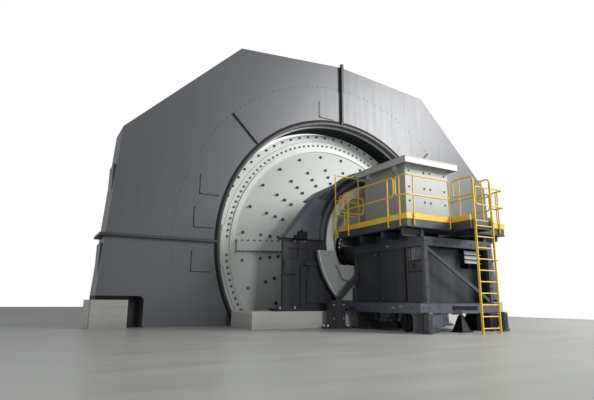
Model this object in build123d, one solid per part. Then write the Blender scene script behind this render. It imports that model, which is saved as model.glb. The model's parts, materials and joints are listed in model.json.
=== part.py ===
"""Large grinding mill: a drum on two trunnion bearings, a polygonal drive guard round its feed end, and a feeder.

Millimetres, +Z up.  The drum turns about an axis along Y at axis_height above the floor, z = 0.  The origin is the
centre of the flat face under the feed bearing plinth.  -Y is the feed side, where the feeder stands.  The drum's
belly hangs below the floor, in the pit between the plinths.
"""

import os
from math import ceil, cos, radians, sin, tan

from build123d import *

# Mill axis and gaps
axis_height = 2740
bearing_gap = 0.3  # between a trunnion and the bore of its bearing
ring_gap = 40  # between a trunnion's ring and its bearing
trim = 5  # how far a cutting tool runs past the face that it cuts

# Drum: flanges, coned heads and shell
drum_length = 8200  # between the joint faces of the two heads
shell_inset = 310  # from the flange's edge to the shell
shell_wall = 150
flange_radius = 4910
flange_thickness = 110
head_recess = 930  # the feed flange lies this far behind the guard's front face
raised_ring_inset = 570  # from the flange's edge
raised_ring_width = 170
cone_inner_radius = 1950
cone_angle = 21.8
head_plate = 160
raised_ring_height = 45
split_rib_height = 170
split_rib_width = 440
split_rib_start_gap = 500  # from the trunnion
split_rib_end_gap = 60  # from the raised ring
split_rib_flange = 50

# Trunnions and the funnels inside them
trunnion_bore = 1700
trunnion_ring_radius = 2140
trunnion_ring_thickness = 80
trunnion_ring_edge = 30
funnel_mouth_radius = 1870
funnel_end_radius = 780
funnel_depth = 1520
funnel_wall = 50

# Guard: a ring housing with eight sides that the floor cuts off
guard_face_y = 1400
guard_depth = 1300
guard_half_width = 8840  # at the floor
guard_corner_inset = 440  # from the guard's edge at the floor
guard_corner_rise = 3460  # above the mill axis, as the next two
guard_shoulder_rise = 7280
guard_apex_rise = 7680
guard_shoulder_inset = 4360
guard_clearance = 230  # between the drum's flange and the guard's opening
rim_width = 95
rim_height = 90
rim_edge = 30
rim_lip_depth = 320
joint_rib_width = 80
joint_rib_height = 110
joint_rib_side_reach = 170
radial_rib_reach = 1500
radial_rib_width = 40
radial_rib_height = 60
radial_rib_angle = 44.5
notch_width = 1450
notch_corner_radius = 160
notch_back_wall = 60
sole_plate_thickness = 120
hatch_thickness = 25
hatch_width = 690
hatch_height = 680
hatch_corner_radius = 40
side_hatch_places = ((19.25, 654), (7.894, 539), (-6.775, 540))  # angle and gap to the guard's opening
top_hatch_place = (97.534, 504)

# Concrete
plinth_half_width = 4780
plinth_depth = 1600
plinth_edge = 30
block_inset = 990  # from the guard's edge
block_overhang = 90
block_height = 810
block_proud = 120
block_edge_radius = 60

# Trunnion bearings
bearing_depth = 1200
bearing_face_thickness = 100
bearing_body_half_width = 3000
bearing_body_radius = 2300
base_plate_thickness = 80
base_plate_reach = 200
base_plate_margin = 120
base_plate_foot_depth = 640
pedestal_half_width = 3700
pedestal_floor = 210  # between the trunnion and the base plate
pedestal_panel_depth = 40
pedestal_panel_margin = 300
cap_foot_half_width = 3800
cap_shoulder_half_width = 2710
cap_shoulder_rise = 1350
cap_outer_radius = 2640
cap_arch_step = 90
cap_arch_depth = 130
split_flange_thickness = 70

# Feed end: trough, spill plate and spout
trough_outer_radius = 2620
trough_inner_radius = 1950
trough_depth = 100
trough_wall = 40
trough_top_drop = 340  # below the mill axis
spill_plate_radius = 2130
spill_plate_inner_radius = 1560
spill_plate_sides = 32
spill_plate_drops = (1260, 790)  # of its lower and upper edge below the mill axis
spill_plate_thickness = 30
spill_plate_reach = 150  # in front of the trough's plate
spout_half_width = 550
spout_drop = 490  # below the mill axis
spout_wall = 30
spout_end_y = 740
spout_flange_radius = 745
spout_flange_thickness = 40
chute_front_y = -3000
chute_back_y = -1300

# Feeder platform
deck_rise = 274  # above the mill axis
deck_plate = 30
platform_half_width = 1950
platform_front_y = -4310
platform_back_y = -1100
channel_height = 220
channel_flange = 90
cross_beam_width = 110
cross_beam_height = 150
cross_beam_count = 4
landing_left_x = -320
landing_right_x = 620
landing_front_y = -4990
kick_height = 126
kick_thickness = 10
kick_back_y = -1280

# Handrails and ladder
rail_diameter = 44
post_diameter = 38
rail_height = 1170
mid_rail_height = 630
rail_bend_radius = 110
side_panel_y = (-3840, -1450)
side_post_inset = 250
corner_panel_y = -3920
corner_post_inset = 160
corner_panel_end_x = 375
front_post_x = 1720
landing_panel_back_y = (-4320, -4530)  # of the left and the right panel
landing_rail_height = 1200
landing_mid_rail_height = 700
landing_post_inset = 230
rear_panel_y = -1150
rear_panel_inner_x = 950
rear_post_inset = 200
barrier_y = -950
barrier_x = (1000, 1940)
barrier_heights = (560, 1040, 1906)  # of its rails above the deck
ladder_left_x = -180
ladder_width = 690
ladder_rung_pitch = 300
ladder_first_rung = 139
ladder_stile_depth = 60
ladder_stile_width = 28
rung_diameter = 30

# Hopper
hopper_half_width = 900
hopper_front_y = -3170
hopper_back_y = -1200
hopper_height = 2096
hopper_wall = 30
rim_reach = 200
rim_front_reach = 250
rim_back_reach = 220
rim_skirt = 200
gusset_height = 180
gusset_thickness = 20
gusset_inset = 330

# Feeder body under the deck
body_half_width = 1320
body_front_y = -4250
body_back_y = -1090
body_drop = 464  # below the deck
post_width = 120
post_depth = 110
top_beam_height = 240
cabinet_front_y = -3430
cabinet_depth = 550
cabinet_seam = 12
cabinet_inset = 20
pipe_radius = 90
front_panel_setback = 350
front_panel_edge_x = 200
panel_thickness = 40
shelf_drop = 710  # below the top beam
shelf_height = 330
window_sheet_inset = 70
brace_width = 110

# Base frame and feet of the feeder
base_half_width = 1560
base_top = 780
base_beam_height = 280
base_beam_width = 210
leg_width = 320
leg_depth = 550
leg_outer_x = 1420
leg_taper = 90
end_plate_width = 310
end_plate_height = 340
end_plate_bottom = 130
end_plate_thickness = 200
end_plate_corner = 70
pad_height = 35
pad_margin = 90
wheel_radius = 240
wheel_y = -3510
wheel_hub_radius = 90
wheel_edge = 40
rear_leg_front_y = -2040
rear_leg_depth = 700
jack_plate_width = 380
jack_base_width = 280
jack_top_width = 60
jack_x = -80
outrigger_x = 2200
outrigger_y = -1290
outrigger_width = 480
outrigger_pad_width = 880
outrigger_depth = 320
outrigger_height = 840
tie_beam_height = 200
outrigger_brace_width = 90

nodes = {}


def block(x_range, y_range, z_range):
    """A block between two corners, each range as (low, high)."""
    ranges = (x_range, y_range, z_range)
    centre = [(high + low) / 2 for low, high in ranges]
    return Pos(*centre) * Box(*[high - low for low, high in ranges])


def across(half):
    """The range from -half to half."""
    return (-half, half)


def along_y(sketch, start_y, length):
    """Extrude a sketch drawn as (x, z) from start_y towards +Y."""
    plane = Plane(origin=(0, start_y, 0), x_dir=(1, 0, 0), z_dir=(0, -1, 0))
    return extrude(plane * sketch, -length)


def along_x(sketch, start_x, length):
    """Extrude a sketch drawn as (y, z) from start_x towards +X."""
    plane = Plane(origin=(start_x, 0, 0), x_dir=(0, 1, 0), z_dir=(1, 0, 0))
    return extrude(plane * sketch, length)


def turned(profile_points):
    """Revolve a closed outline of (radius, y) points about the mill axis."""
    plane = Plane(origin=(0, 0, axis_height), x_dir=(1, 0, 0), z_dir=(0, 0, 1))
    outline = make_face(plane * Polyline(*profile_points, close=True))
    return revolve(outline, Axis((0, 0, axis_height), (0, 1, 0)))


def disc(radius):
    """A flat disc about the mill axis, as an (x, z) sketch."""
    return Pos(0, axis_height) * Circle(radius)


def mirrored_x(solid):
    return mirror(solid, Plane.YZ)


def both_sides(solid):
    """A piece and its mirror image, as two solids of one node."""
    return Compound(children=[solid, mirrored_x(solid)])


shell_radius = flange_radius - shell_inset
raised_ring_outer_radius = flange_radius - raised_ring_inset
cone_outer_radius = raised_ring_outer_radius - raised_ring_width
guard_corner = (guard_half_width - guard_corner_inset, axis_height + guard_corner_rise)
guard_shoulder = (guard_half_width - guard_shoulder_inset, axis_height + guard_shoulder_rise)
guard_apex = axis_height + guard_apex_rise
guard_bore_radius = flange_radius + guard_clearance
plate_top = axis_height - cone_inner_radius - pedestal_floor
plinth_height = plate_top - base_plate_thickness
plinth_front_y = -plinth_depth / 2
bearing_front_y = -bearing_depth / 2
head_face_y = guard_face_y + head_recess
joint_face_y = head_face_y + flange_thickness
drum_middle_y = joint_face_y + drum_length / 2
ring_back_y = bearing_front_y - ring_gap
ring_front_y = ring_back_y - trunnion_ring_thickness
funnel_end_y = ring_front_y + funnel_depth
trough_front_y = plinth_front_y - trough_depth
spout_bottom = axis_height - spout_drop
deck_height = axis_height + deck_rise
hopper_top = deck_height + hopper_height
channel_bottom = deck_height - deck_plate - channel_height
rail_radius = rail_diameter / 2
post_bottom = channel_bottom + rail_diameter
side_rail_x = platform_half_width + kick_thickness + rail_radius
front_rail_y = platform_front_y - kick_thickness - rail_radius
ladder_y = landing_front_y - kick_thickness - ladder_stile_depth / 2
base_bottom = base_top - base_beam_height
body_top = deck_height - body_drop
beam_low = body_top - top_beam_height
shelf_bottom = beam_low - shelf_drop


def at_discharge(solid):
    """The same piece at the discharge end, turned half round about the drum's middle."""
    return Pos(0, 2 * drum_middle_y, 0) * Rot(0, 0, 180) * solid


def both_ends(solid):
    """A piece of the feed end and its copy at the discharge end, as two solids of one node."""
    return Compound(children=[solid, at_discharge(solid)])


def halves(solid):
    """A turned piece split level with the mill axis, as its upper and its lower half."""
    reach = 2 * flange_radius
    upper = block(across(reach), across(2 * drum_middle_y), (axis_height, axis_height + reach))
    return solid & upper, solid - upper


def cone_y(radius):
    """Where the head's front face lies at a radius."""
    return head_face_y - tan(radians(cone_angle)) * (cone_outer_radius - radius)


def guard_outline():
    right = [(guard_half_width, 0), guard_corner, guard_shoulder]
    left = [(-x, z) for x, z in reversed(right)]
    return make_face(Polyline(*right, (0, guard_apex), *left, close=True))


def guard_side_x(height):
    """Half the guard's width at a height on its upright side."""
    corner_x, corner_z = guard_corner
    return guard_half_width + (corner_x - guard_half_width) * height / corner_z


def notch_outline():
    """The gap in the guard's lower edge that a side foundation block stands in."""
    top = block_height + sole_plate_thickness
    outer = guard_half_width + trim
    inner = guard_half_width - notch_width
    cut = Pos((outer + inner) / 2, 0) * Rectangle(outer - inner, 2 * top)
    inner_corner = cut.vertices().group_by(Axis.X)[0].group_by(Axis.Y)[-1]
    return fillet(inner_corner, notch_corner_radius)


def make_guard():
    full = along_y(guard_outline() - disc(guard_bore_radius), guard_face_y, guard_depth)
    reach = 2 * guard_half_width
    depth = (guard_face_y, guard_face_y + guard_depth)
    upper = full & block((0, reach), depth, (axis_height, reach))
    lower = full & block((0, reach), depth, (0, axis_height))
    lower -= along_y(notch_outline(), guard_face_y, guard_depth - notch_back_wall)
    top = block_height + sole_plate_thickness
    lower -= block((guard_half_width - block_inset, reach), depth, (0, top))
    nodes["guard_upper_right"] = upper
    nodes["guard_upper_left"] = mirrored_x(upper)
    nodes["guard_lower_right"] = lower
    nodes["guard_lower_left"] = mirrored_x(lower)
    sole = block((guard_half_width - block_inset, guard_side_x(top)), depth, (block_height, top))
    nodes["guard_sole_plates"] = both_sides(sole)


def make_guard_rim():
    inner = guard_bore_radius - rim_height
    outer = guard_bore_radius + rim_width
    front = guard_face_y - rim_height
    ring = turned(
        [
            (inner, front + rim_edge),
            (inner + rim_edge, front),
            (outer - rim_edge, front),
            (outer, front + rim_edge),
            (outer, guard_face_y),
            (guard_bore_radius, guard_face_y),
            (guard_bore_radius, guard_face_y + rim_lip_depth),
            (inner, guard_face_y + rim_lip_depth),
        ]
    )
    above_floor = block(across(outer), (0, guard_face_y + guard_depth), (0, 2 * outer))
    nodes["guard_opening_rim"] = ring & above_floor


def make_guard_ribs():
    """Raised bolted ribs that cover the joints between the guard's sections."""
    rim_outer = guard_bore_radius + rim_width
    front = (guard_face_y - joint_rib_height, guard_face_y)
    half = joint_rib_width / 2
    top = block(across(half), front, (axis_height + rim_outer, guard_apex + joint_rib_height))
    side_x = guard_side_x(axis_height - half)
    outer_x = side_x + joint_rib_side_reach
    height = (axis_height - half, axis_height + half)
    side = block((rim_outer, outer_x), front, height)
    side += block((side_x, outer_x), (guard_face_y, guard_face_y + guard_depth), height)
    low_front = (guard_face_y - radial_rib_height, guard_face_y)
    radial = block((rim_outer, guard_bore_radius + radial_rib_reach), low_front, across(radial_rib_width / 2))
    slanted = Pos(0, 0, axis_height) * Rot(0, -radial_rib_angle, 0) * radial
    ribs = [top, side, mirrored_x(side), slanted, mirrored_x(slanted)]
    nodes["guard_joint_ribs"] = Compound(children=ribs)


def make_guard_hatches():
    cover = RectangleRounded(hatch_width, hatch_height, hatch_corner_radius)
    front = guard_face_y - hatch_thickness
    places = [*side_hatch_places, top_hatch_place, *[(180 - angle, gap) for angle, gap in side_hatch_places]]
    covers = []
    for angle, gap in places:
        radius = guard_bore_radius + gap
        place = Pos(radius * cos(radians(angle)), axis_height + radius * sin(radians(angle)))
        covers.append(along_y(place * cover, front, hatch_thickness))
    nodes["guard_hatch_covers"] = Compound(children=covers)


def make_concrete():
    plinth = block(across(plinth_half_width), across(plinth_depth / 2), (0, plinth_height))
    plinth = chamfer(plinth.edges().group_by(Axis.Z)[-1], plinth_edge)
    nodes["feed_plinth"] = plinth
    nodes["discharge_plinth"] = at_discharge(plinth)
    depth = (guard_face_y - block_proud, guard_face_y + guard_depth + block_proud)
    side_x = (guard_half_width - block_inset, guard_half_width + block_overhang)
    side = block(side_x, depth, (0, block_height))
    side = fillet(side.edges().filter_by(Axis.Z), block_edge_radius)
    nodes["side_foundations"] = both_sides(side)


def split_rib():
    """One bolted rib, a web and its base flange, where the two halves of a head meet."""
    start = cone_inner_radius + split_rib_start_gap
    end = cone_outer_radius - split_rib_end_gap

    def strip(height, width):
        foot = [(start, cone_y(start)), (end, cone_y(end))]
        crest = [(radius, y - height) for radius, y in reversed(foot)]
        outline = make_face(Polyline(*foot, *crest, close=True))
        return Pos(0, 0, axis_height - width / 2) * extrude(outline, width)

    return strip(split_rib_height, split_rib_width - 2 * split_rib_flange) + strip(split_rib_flange, split_rib_width)


def make_heads():
    """Cast ends: a bolting flange, a raised ring and a cone that rises to the trunnion."""
    front = cone_y(cone_inner_radius)
    head = turned(
        [
            (flange_radius, head_face_y),
            (flange_radius, joint_face_y),
            (cone_outer_radius, joint_face_y),
            (cone_inner_radius, front + head_plate),
            (trunnion_bore, front + head_plate),
            (trunnion_bore, front),
            (cone_inner_radius, front),
            (cone_outer_radius, head_face_y),
            (cone_outer_radius, head_face_y - raised_ring_height),
            (raised_ring_outer_radius, head_face_y - raised_ring_height),
            (raised_ring_outer_radius, head_face_y),
        ]
    )
    head += split_rib()
    head += mirrored_x(split_rib())
    for name, half in zip(("upper", "lower"), halves(head)):
        nodes["feed_head_" + name] = half
        nodes["discharge_head_" + name] = at_discharge(half)


def make_shell():
    """Two rolled cans, each in two halves, bolted together at flanges."""
    start = joint_face_y
    end = drum_middle_y
    can = turned(
        [
            (flange_radius, start),
            (flange_radius, start + flange_thickness),
            (shell_radius, start + flange_thickness),
            (shell_radius, end - flange_thickness),
            (flange_radius, end - flange_thickness),
            (flange_radius, end),
            (shell_radius - shell_wall, end),
            (shell_radius - shell_wall, start),
        ]
    )
    for name, half in zip(("upper", "lower"), halves(can)):
        nodes["feed_shell_" + name] = half
        nodes["discharge_shell_" + name] = at_discharge(half)


def make_trunnions():
    """Hollow journals with a ring at the mouth, and the conical liner that leads into the drum."""
    back = cone_y(cone_inner_radius)
    slope = (funnel_mouth_radius - funnel_end_radius) / funnel_depth
    liner_y = ring_front_y + (funnel_mouth_radius - trunnion_bore) / slope
    trunnion = turned(
        [
            (trunnion_ring_radius - trunnion_ring_edge, ring_front_y),
            (trunnion_ring_radius, ring_front_y + trunnion_ring_edge),
            (trunnion_ring_radius, ring_back_y),
            (cone_inner_radius, ring_back_y),
            (cone_inner_radius, back),
            (trunnion_bore, back),
            (trunnion_bore, liner_y),
            (funnel_mouth_radius, ring_front_y),
        ]
    )
    nodes["feed_trunnion"] = trunnion
    nodes["discharge_trunnion"] = at_discharge(trunnion)
    liner = turned(
        [
            (trunnion_bore, liner_y),
            (funnel_end_radius, funnel_end_y),
            (funnel_end_radius, back),
            (funnel_end_radius + funnel_wall, back),
            (funnel_end_radius + funnel_wall, funnel_end_y),
            (trunnion_bore, liner_y + funnel_wall / slope),
        ]
    )
    nodes["feed_trunnion_liner"] = liner
    nodes["discharge_trunnion_liner"] = at_discharge(liner)


def cap_outline(shrink):
    """The cap seen along the axis: two sloping flanks and an arch over the trunnion."""
    shoulder = (cap_shoulder_half_width - shrink, axis_height + cap_shoulder_rise)
    right = [(cap_foot_half_width - shrink, axis_height), shoulder]
    left = [(-x, z) for x, z in reversed(right)]
    radius = cap_outer_radius - shrink
    upper = Pos(0, axis_height + radius) * Rectangle(2 * radius, 2 * radius)
    return make_face(Polyline(*right, *left, close=True)) + (disc(radius) & upper)


def make_bearings():
    """Housings with a wide face plate at the mouth and a narrower body behind it, each split level with the axis."""
    start = bearing_front_y
    back = start + bearing_face_thickness
    body_depth = bearing_depth - bearing_face_thickness
    bore = disc(cone_inner_radius + bearing_gap)
    half_depth = bearing_depth / 2 + base_plate_margin
    plate_z = (plinth_height, plate_top)
    foot_y = (-half_depth, base_plate_foot_depth - half_depth)
    plate = block(across(pedestal_half_width + base_plate_reach), foot_y, plate_z)
    plate += block(across(bearing_body_half_width + base_plate_margin), across(half_depth), plate_z)
    height = axis_height - plate_top
    middle = Pos(0, plate_top + height / 2)
    pedestal = along_y(middle * Rectangle(2 * pedestal_half_width, height) - bore, start, bearing_face_thickness)
    pedestal += along_y(middle * Rectangle(2 * bearing_body_half_width, height) - bore, back, body_depth)
    body_flange = bearing_body_half_width + split_flange_thickness
    for half_width, y, depth in (
        (cap_foot_half_width, start, bearing_face_thickness),
        (body_flange, back, body_depth),
    ):
        flange = Pos(0, axis_height - split_flange_thickness / 2) * Rectangle(2 * half_width, split_flange_thickness)
        pedestal += along_y(flange - bore, y, depth)
    panel_width = pedestal_half_width - trough_outer_radius - pedestal_panel_margin
    panel_x = (trough_outer_radius + pedestal_half_width) / 2
    panel = Rectangle(panel_width, height - 2 * pedestal_panel_margin)
    for x in (-panel_x, panel_x):
        pedestal -= along_y(Pos(x, 0) * middle * panel, start, pedestal_panel_depth)
    cap = along_y(cap_outline(0) - bore, start, bearing_face_thickness)
    upper = Pos(0, axis_height + bearing_body_radius) * Rectangle(2 * bearing_body_radius, 2 * bearing_body_radius)
    flange = Pos(0, axis_height + split_flange_thickness / 2) * Rectangle(2 * body_flange, split_flange_thickness)
    cap += along_y((disc(bearing_body_radius) & upper) + flange - bore, back, body_depth)
    arch = cap_outline(cap_arch_step) - disc(trunnion_ring_radius + ring_gap)
    cap += along_y(arch, start - cap_arch_depth, cap_arch_depth)
    nodes["bearing_base_plates"] = both_ends(plate)
    for name, piece in {"pedestal": pedestal, "cap": cap}.items():
        nodes["feed_bearing_" + name] = piece
        nodes["discharge_bearing_" + name] = at_discharge(piece)


def make_feed_trough():
    """A half collar below the trunnion's mouth that catches what the mouth spills."""
    outer = trough_outer_radius
    inner = trough_inner_radius
    band = turned(
        [
            (outer, trough_front_y),
            (outer, plinth_front_y),
            (outer - trough_wall, plinth_front_y),
            (outer - trough_wall, trough_front_y + trough_wall),
            (inner, trough_front_y + trough_wall),
            (inner, trough_front_y),
        ]
    )
    depth = (trough_front_y, plinth_front_y)
    nodes["feed_trough"] = band & block(across(outer), depth, (0, axis_height - trough_top_drop))
    front = trough_front_y - spill_plate_reach
    facets = Pos(0, axis_height) * RegularPolygon(spill_plate_radius, spill_plate_sides)
    plate = along_y(facets - disc(spill_plate_inner_radius), front, spill_plate_thickness)
    plate += along_y(facets - disc(trough_inner_radius), front, spill_plate_reach)
    height = [axis_height - drop for drop in spill_plate_drops]
    low = block(across(spill_plate_radius), (front, trough_front_y), height)
    nodes["feed_spill_plate"] = plate & low


def make_spout():
    """The box spout from under the hopper into the funnel, with a round flange at its end."""
    inside = across(spout_half_width - spout_wall)
    top = channel_bottom
    spout = block(across(spout_half_width), (chute_front_y, spout_end_y), (spout_bottom, top))
    front = spout_end_y - spout_flange_thickness
    spout += along_y(disc(spout_flange_radius), front, spout_flange_thickness)
    spout -= block(inside, (chute_front_y + spout_wall, spout_end_y), (spout_bottom + spout_wall, top - spout_wall))
    inlet_y = (chute_front_y + spout_wall, chute_back_y - spout_wall)
    spout -= block(inside, inlet_y, (axis_height, top))
    nodes["feed_spout"] = spout
    chute = block(across(spout_half_width), (chute_front_y, chute_back_y), (top, deck_height))
    nodes["feed_chute"] = chute - block(inside, inlet_y, (top, deck_height))


def platform_area():
    half = platform_half_width
    outer = [
        (-half, platform_back_y),
        (-half, platform_front_y),
        (landing_left_x, platform_front_y),
        (landing_left_x, landing_front_y),
        (landing_right_x, landing_front_y),
        (landing_right_x, platform_front_y),
        (half, platform_front_y),
        (half, platform_back_y),
    ]
    return make_face(Polyline(*outer, close=True))


def make_platform():
    area = platform_area()
    deck_bottom = deck_height - deck_plate
    outlet = block(across(spout_half_width), (chute_front_y, chute_back_y), (deck_bottom, deck_height))
    nodes["platform_deck"] = Pos(0, 0, deck_bottom) * extrude(area, deck_plate) - outlet
    frame = Pos(0, 0, channel_bottom) * extrude(area - offset(area, -channel_flange), channel_height)
    pitch = (chute_front_y - platform_front_y) / (cross_beam_count + 1)
    beam_z = (deck_bottom - cross_beam_height, deck_bottom)
    for i in range(1, cross_beam_count + 1):
        y = platform_front_y + i * pitch
        beam_y = (y - cross_beam_width / 2, y + cross_beam_width / 2)
        frame += block(across(platform_half_width - channel_flange), beam_y, beam_z)
    nodes["platform_frame"] = frame


def make_kick_plates():
    """Upright strips along the deck's open edges, with the ladder's gap left open."""
    outside = offset(platform_area(), kick_thickness, kind=Kind.INTERSECTION)
    strip = Pos(0, 0, deck_height - deck_plate) * extrude(outside - platform_area(), kick_height + deck_plate)
    reach = 2 * platform_half_width
    back = block(across(reach), (kick_back_y, 0), (0, hopper_top))
    ladder_gap = block(
        (landing_left_x + ladder_stile_width, landing_right_x - ladder_stile_width),
        (landing_front_y - 2 * kick_thickness, landing_front_y + trim),
        (0, hopper_top),
    )
    nodes["kick_plates"] = strip - back - ladder_gap


def post(x, y, top):
    return Pos(x, y, (post_bottom + top) / 2) * Cylinder(post_diameter / 2, top - post_bottom)


def rail_loop(plan_points, posts, middle=deck_height + mid_rail_height, top=deck_height + rail_height):
    """A handrail panel on posts: a rounded loop whose top and middle rails follow the plan points."""
    points = [(x, y, top) for x, y in plan_points] + [(x, y, middle) for x, y in reversed(plan_points)]
    path = FilletPolyline(*points, radius=rail_bend_radius, close=True)
    section = Plane(origin=path @ 0, z_dir=path % 0) * Circle(rail_radius)
    panel = sweep(section, path=path)
    for x, y in posts:
        panel += post(x, y, top)
    return panel


def make_railings():
    x = side_rail_x
    low, high = side_panel_y
    side_posts = [(x, low + side_post_inset), (x, high - side_post_inset)]
    nodes["side_railings"] = both_sides(rail_loop([(x, low), (x, high)], side_posts))
    corner = [(x, corner_panel_y), (x, front_rail_y), (corner_panel_end_x, front_rail_y)]
    corner_posts = [(x, corner_panel_y - corner_post_inset), (front_post_x, front_rail_y)]
    left = rail_loop(corner, corner_posts + [(corner_panel_end_x, front_rail_y)])
    nodes["left_corner_railing"] = mirrored_x(left)
    corner[-1] = (landing_right_x + 2 * rail_diameter, front_rail_y)
    nodes["right_corner_railing"] = rail_loop(corner, corner_posts)
    panels = []
    middle = deck_height + landing_mid_rail_height
    top = deck_height + landing_rail_height
    half = ladder_stile_width / 2
    stile_y = (ladder_y - ladder_stile_depth / 2, ladder_y + ladder_stile_depth / 2)
    for x, back in zip((ladder_left_x, ladder_left_x + ladder_width), landing_panel_back_y):
        panel = rail_loop([(x, ladder_y), (x, back)], [], middle, top)
        panel += block((x - half, x + half), stile_y, (deck_height, top - rail_bend_radius))
        panel += Pos(x, back - landing_post_inset, (deck_height + top) / 2) * Cylinder(
            post_diameter / 2, top - deck_height
        )
        panels.append(panel)
    nodes["landing_railings"] = Compound(children=panels)


def make_rear_barriers():
    """End rails across each walkway: a rounded panel and, behind it, a tall barrier beside the mill."""
    inner, outer = barrier_x
    heights = [deck_height + height for height in barrier_heights]
    barrier = post(inner, barrier_y, heights[-1]) + post(outer, barrier_y, heights[-1])
    for z in heights:
        barrier += Pos((inner + outer) / 2, barrier_y, z) * Rot(0, 90, 0) * Cylinder(rail_radius, outer - inner)
    for x in barrier_x:
        barrier += block((x - rail_radius, x + rail_radius), (platform_back_y, barrier_y), (post_bottom, deck_height))
    nodes["rear_barriers"] = both_sides(barrier)
    outer = platform_half_width - rail_radius
    ends = (rear_panel_inner_x, outer)
    panel = rail_loop([(x, rear_panel_y) for x in ends], [])
    middle = deck_height + mid_rail_height
    for x in (rear_panel_inner_x + rear_post_inset, outer - rear_post_inset):
        panel += Pos(x, rear_panel_y, (deck_height + middle) / 2) * Cylinder(post_diameter / 2, middle - deck_height)
    nodes["rear_railings"] = both_sides(panel)


def make_hopper():
    half = hopper_half_width
    outer = (across(half), (hopper_front_y, hopper_back_y))
    shell = block(*outer, (deck_height, hopper_top))
    inner_y = (hopper_front_y + hopper_wall, hopper_back_y - hopper_wall)
    shell -= block(across(half - hopper_wall), inner_y, (deck_height, hopper_top))
    nodes["feed_hopper"] = shell
    low = hopper_top - rim_skirt
    reach = half + rim_reach
    front = hopper_front_y - rim_front_reach
    back = hopper_back_y + rim_back_reach
    rim = block(across(reach), (front, back), (low, hopper_top)) - block(*outer, (low, hopper_top))
    hollow_y = (front + hopper_wall, back - hopper_wall)
    rim -= block(across(reach - hopper_wall), hollow_y, (low, hopper_top - hopper_wall))
    web = make_face(
        Polyline(
            (-half, low - gusset_height),
            (-half, hopper_top - hopper_wall),
            (-reach + hopper_wall, hopper_top - hopper_wall),
            (-reach + hopper_wall, low),
            close=True,
        )
    )
    for y in (hopper_front_y + gusset_inset, hopper_back_y - gusset_inset):
        gusset = along_y(web, y, gusset_thickness)
        rim += gusset
        rim += mirrored_x(gusset)
    nodes["feed_hopper_rim"] = rim


def make_ladder():
    y = ladder_y
    right = ladder_left_x + ladder_width
    stile = Box(ladder_stile_width, ladder_stile_depth, deck_height)
    ladder = Pos(ladder_left_x, y, deck_height / 2) * stile
    ladder += Pos(right, y, deck_height / 2) * stile
    rung = Rot(0, 90, 0) * Cylinder(rung_diameter / 2, ladder_width)
    for i in range(ceil((deck_height - ladder_first_rung) / ladder_rung_pitch)):
        ladder += Pos((ladder_left_x + right) / 2, y, ladder_first_rung + i * ladder_rung_pitch) * rung
    bracket_z = (deck_height - kick_height, deck_height)
    half = ladder_stile_width / 2
    for x in (ladder_left_x, right):
        ladder += block((x - half, x + half), (y, landing_front_y), bracket_z)
    nodes["access_ladder"] = ladder


def make_base():
    """The feeder's bottom frame, its legs, its wheels and the pointed stand under the front beam."""
    half = base_half_width
    outer = block(across(half), (body_front_y, body_back_y), (base_bottom, base_top))
    inner_y = (body_front_y + base_beam_width, body_back_y - base_beam_width)
    nodes["feeder_base_frame"] = outer - block(across(half - base_beam_width), inner_y, (base_bottom, base_top))
    front = body_front_y
    back = front + leg_depth
    leg = make_face(
        Polyline(
            (front, base_bottom),
            (front, pad_height),
            (back - leg_taper, pad_height),
            (back - leg_taper, base_bottom - leg_taper),
            (back, base_bottom),
            close=True,
        )
    )
    inner_x = -leg_outer_x + leg_width
    left = along_x(leg, -leg_outer_x, leg_width)
    left += block((-leg_outer_x, inner_x + pad_margin), (front - pad_margin, back), (0, pad_height))
    plate = RectangleRounded(end_plate_width, end_plate_height, end_plate_corner)
    plate = Pos(inner_x + end_plate_width / 2, end_plate_bottom + end_plate_height / 2) * plate
    left += along_y(plate, front, end_plate_thickness)
    shift = 2 * leg_outer_x - leg_width
    nodes["feeder_front_legs"] = Compound(children=[left, Pos(shift, 0, 0) * left])
    rear_y = (rear_leg_front_y, rear_leg_front_y + rear_leg_depth)
    nodes["feeder_rear_legs"] = both_sides(block((-leg_outer_x, inner_x), rear_y, (0, base_bottom)))
    wheel = Pos(-leg_outer_x + leg_width / 2, wheel_y, wheel_radius) * Rot(0, 90, 0)
    tyre = wheel * fillet(Cylinder(wheel_radius, leg_width).edges().filter_by(GeomType.CIRCLE), wheel_edge)
    hub = wheel * Cylinder(wheel_hub_radius, leg_width + 2 * panel_thickness)
    hanger_y = (wheel_y - wheel_hub_radius, wheel_y + wheel_hub_radius)
    for x in (-leg_outer_x - panel_thickness, inner_x):
        hub += block((x, x + panel_thickness), hanger_y, (wheel_radius, base_bottom))
    nodes["feeder_wheels"] = both_sides(tyre + hub)
    foot = Pos(0, 0, pad_height) * Rectangle(jack_base_width, jack_base_width)
    tip = Pos(0, 0, base_bottom) * Rectangle(jack_top_width, jack_top_width)
    pad = block(across(jack_plate_width / 2), across(jack_plate_width / 2), (0, pad_height))
    nodes["feeder_jack_stand"] = Pos(jack_x, front + base_beam_width / 2, 0) * (pad + loft([foot, tip]))


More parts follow.
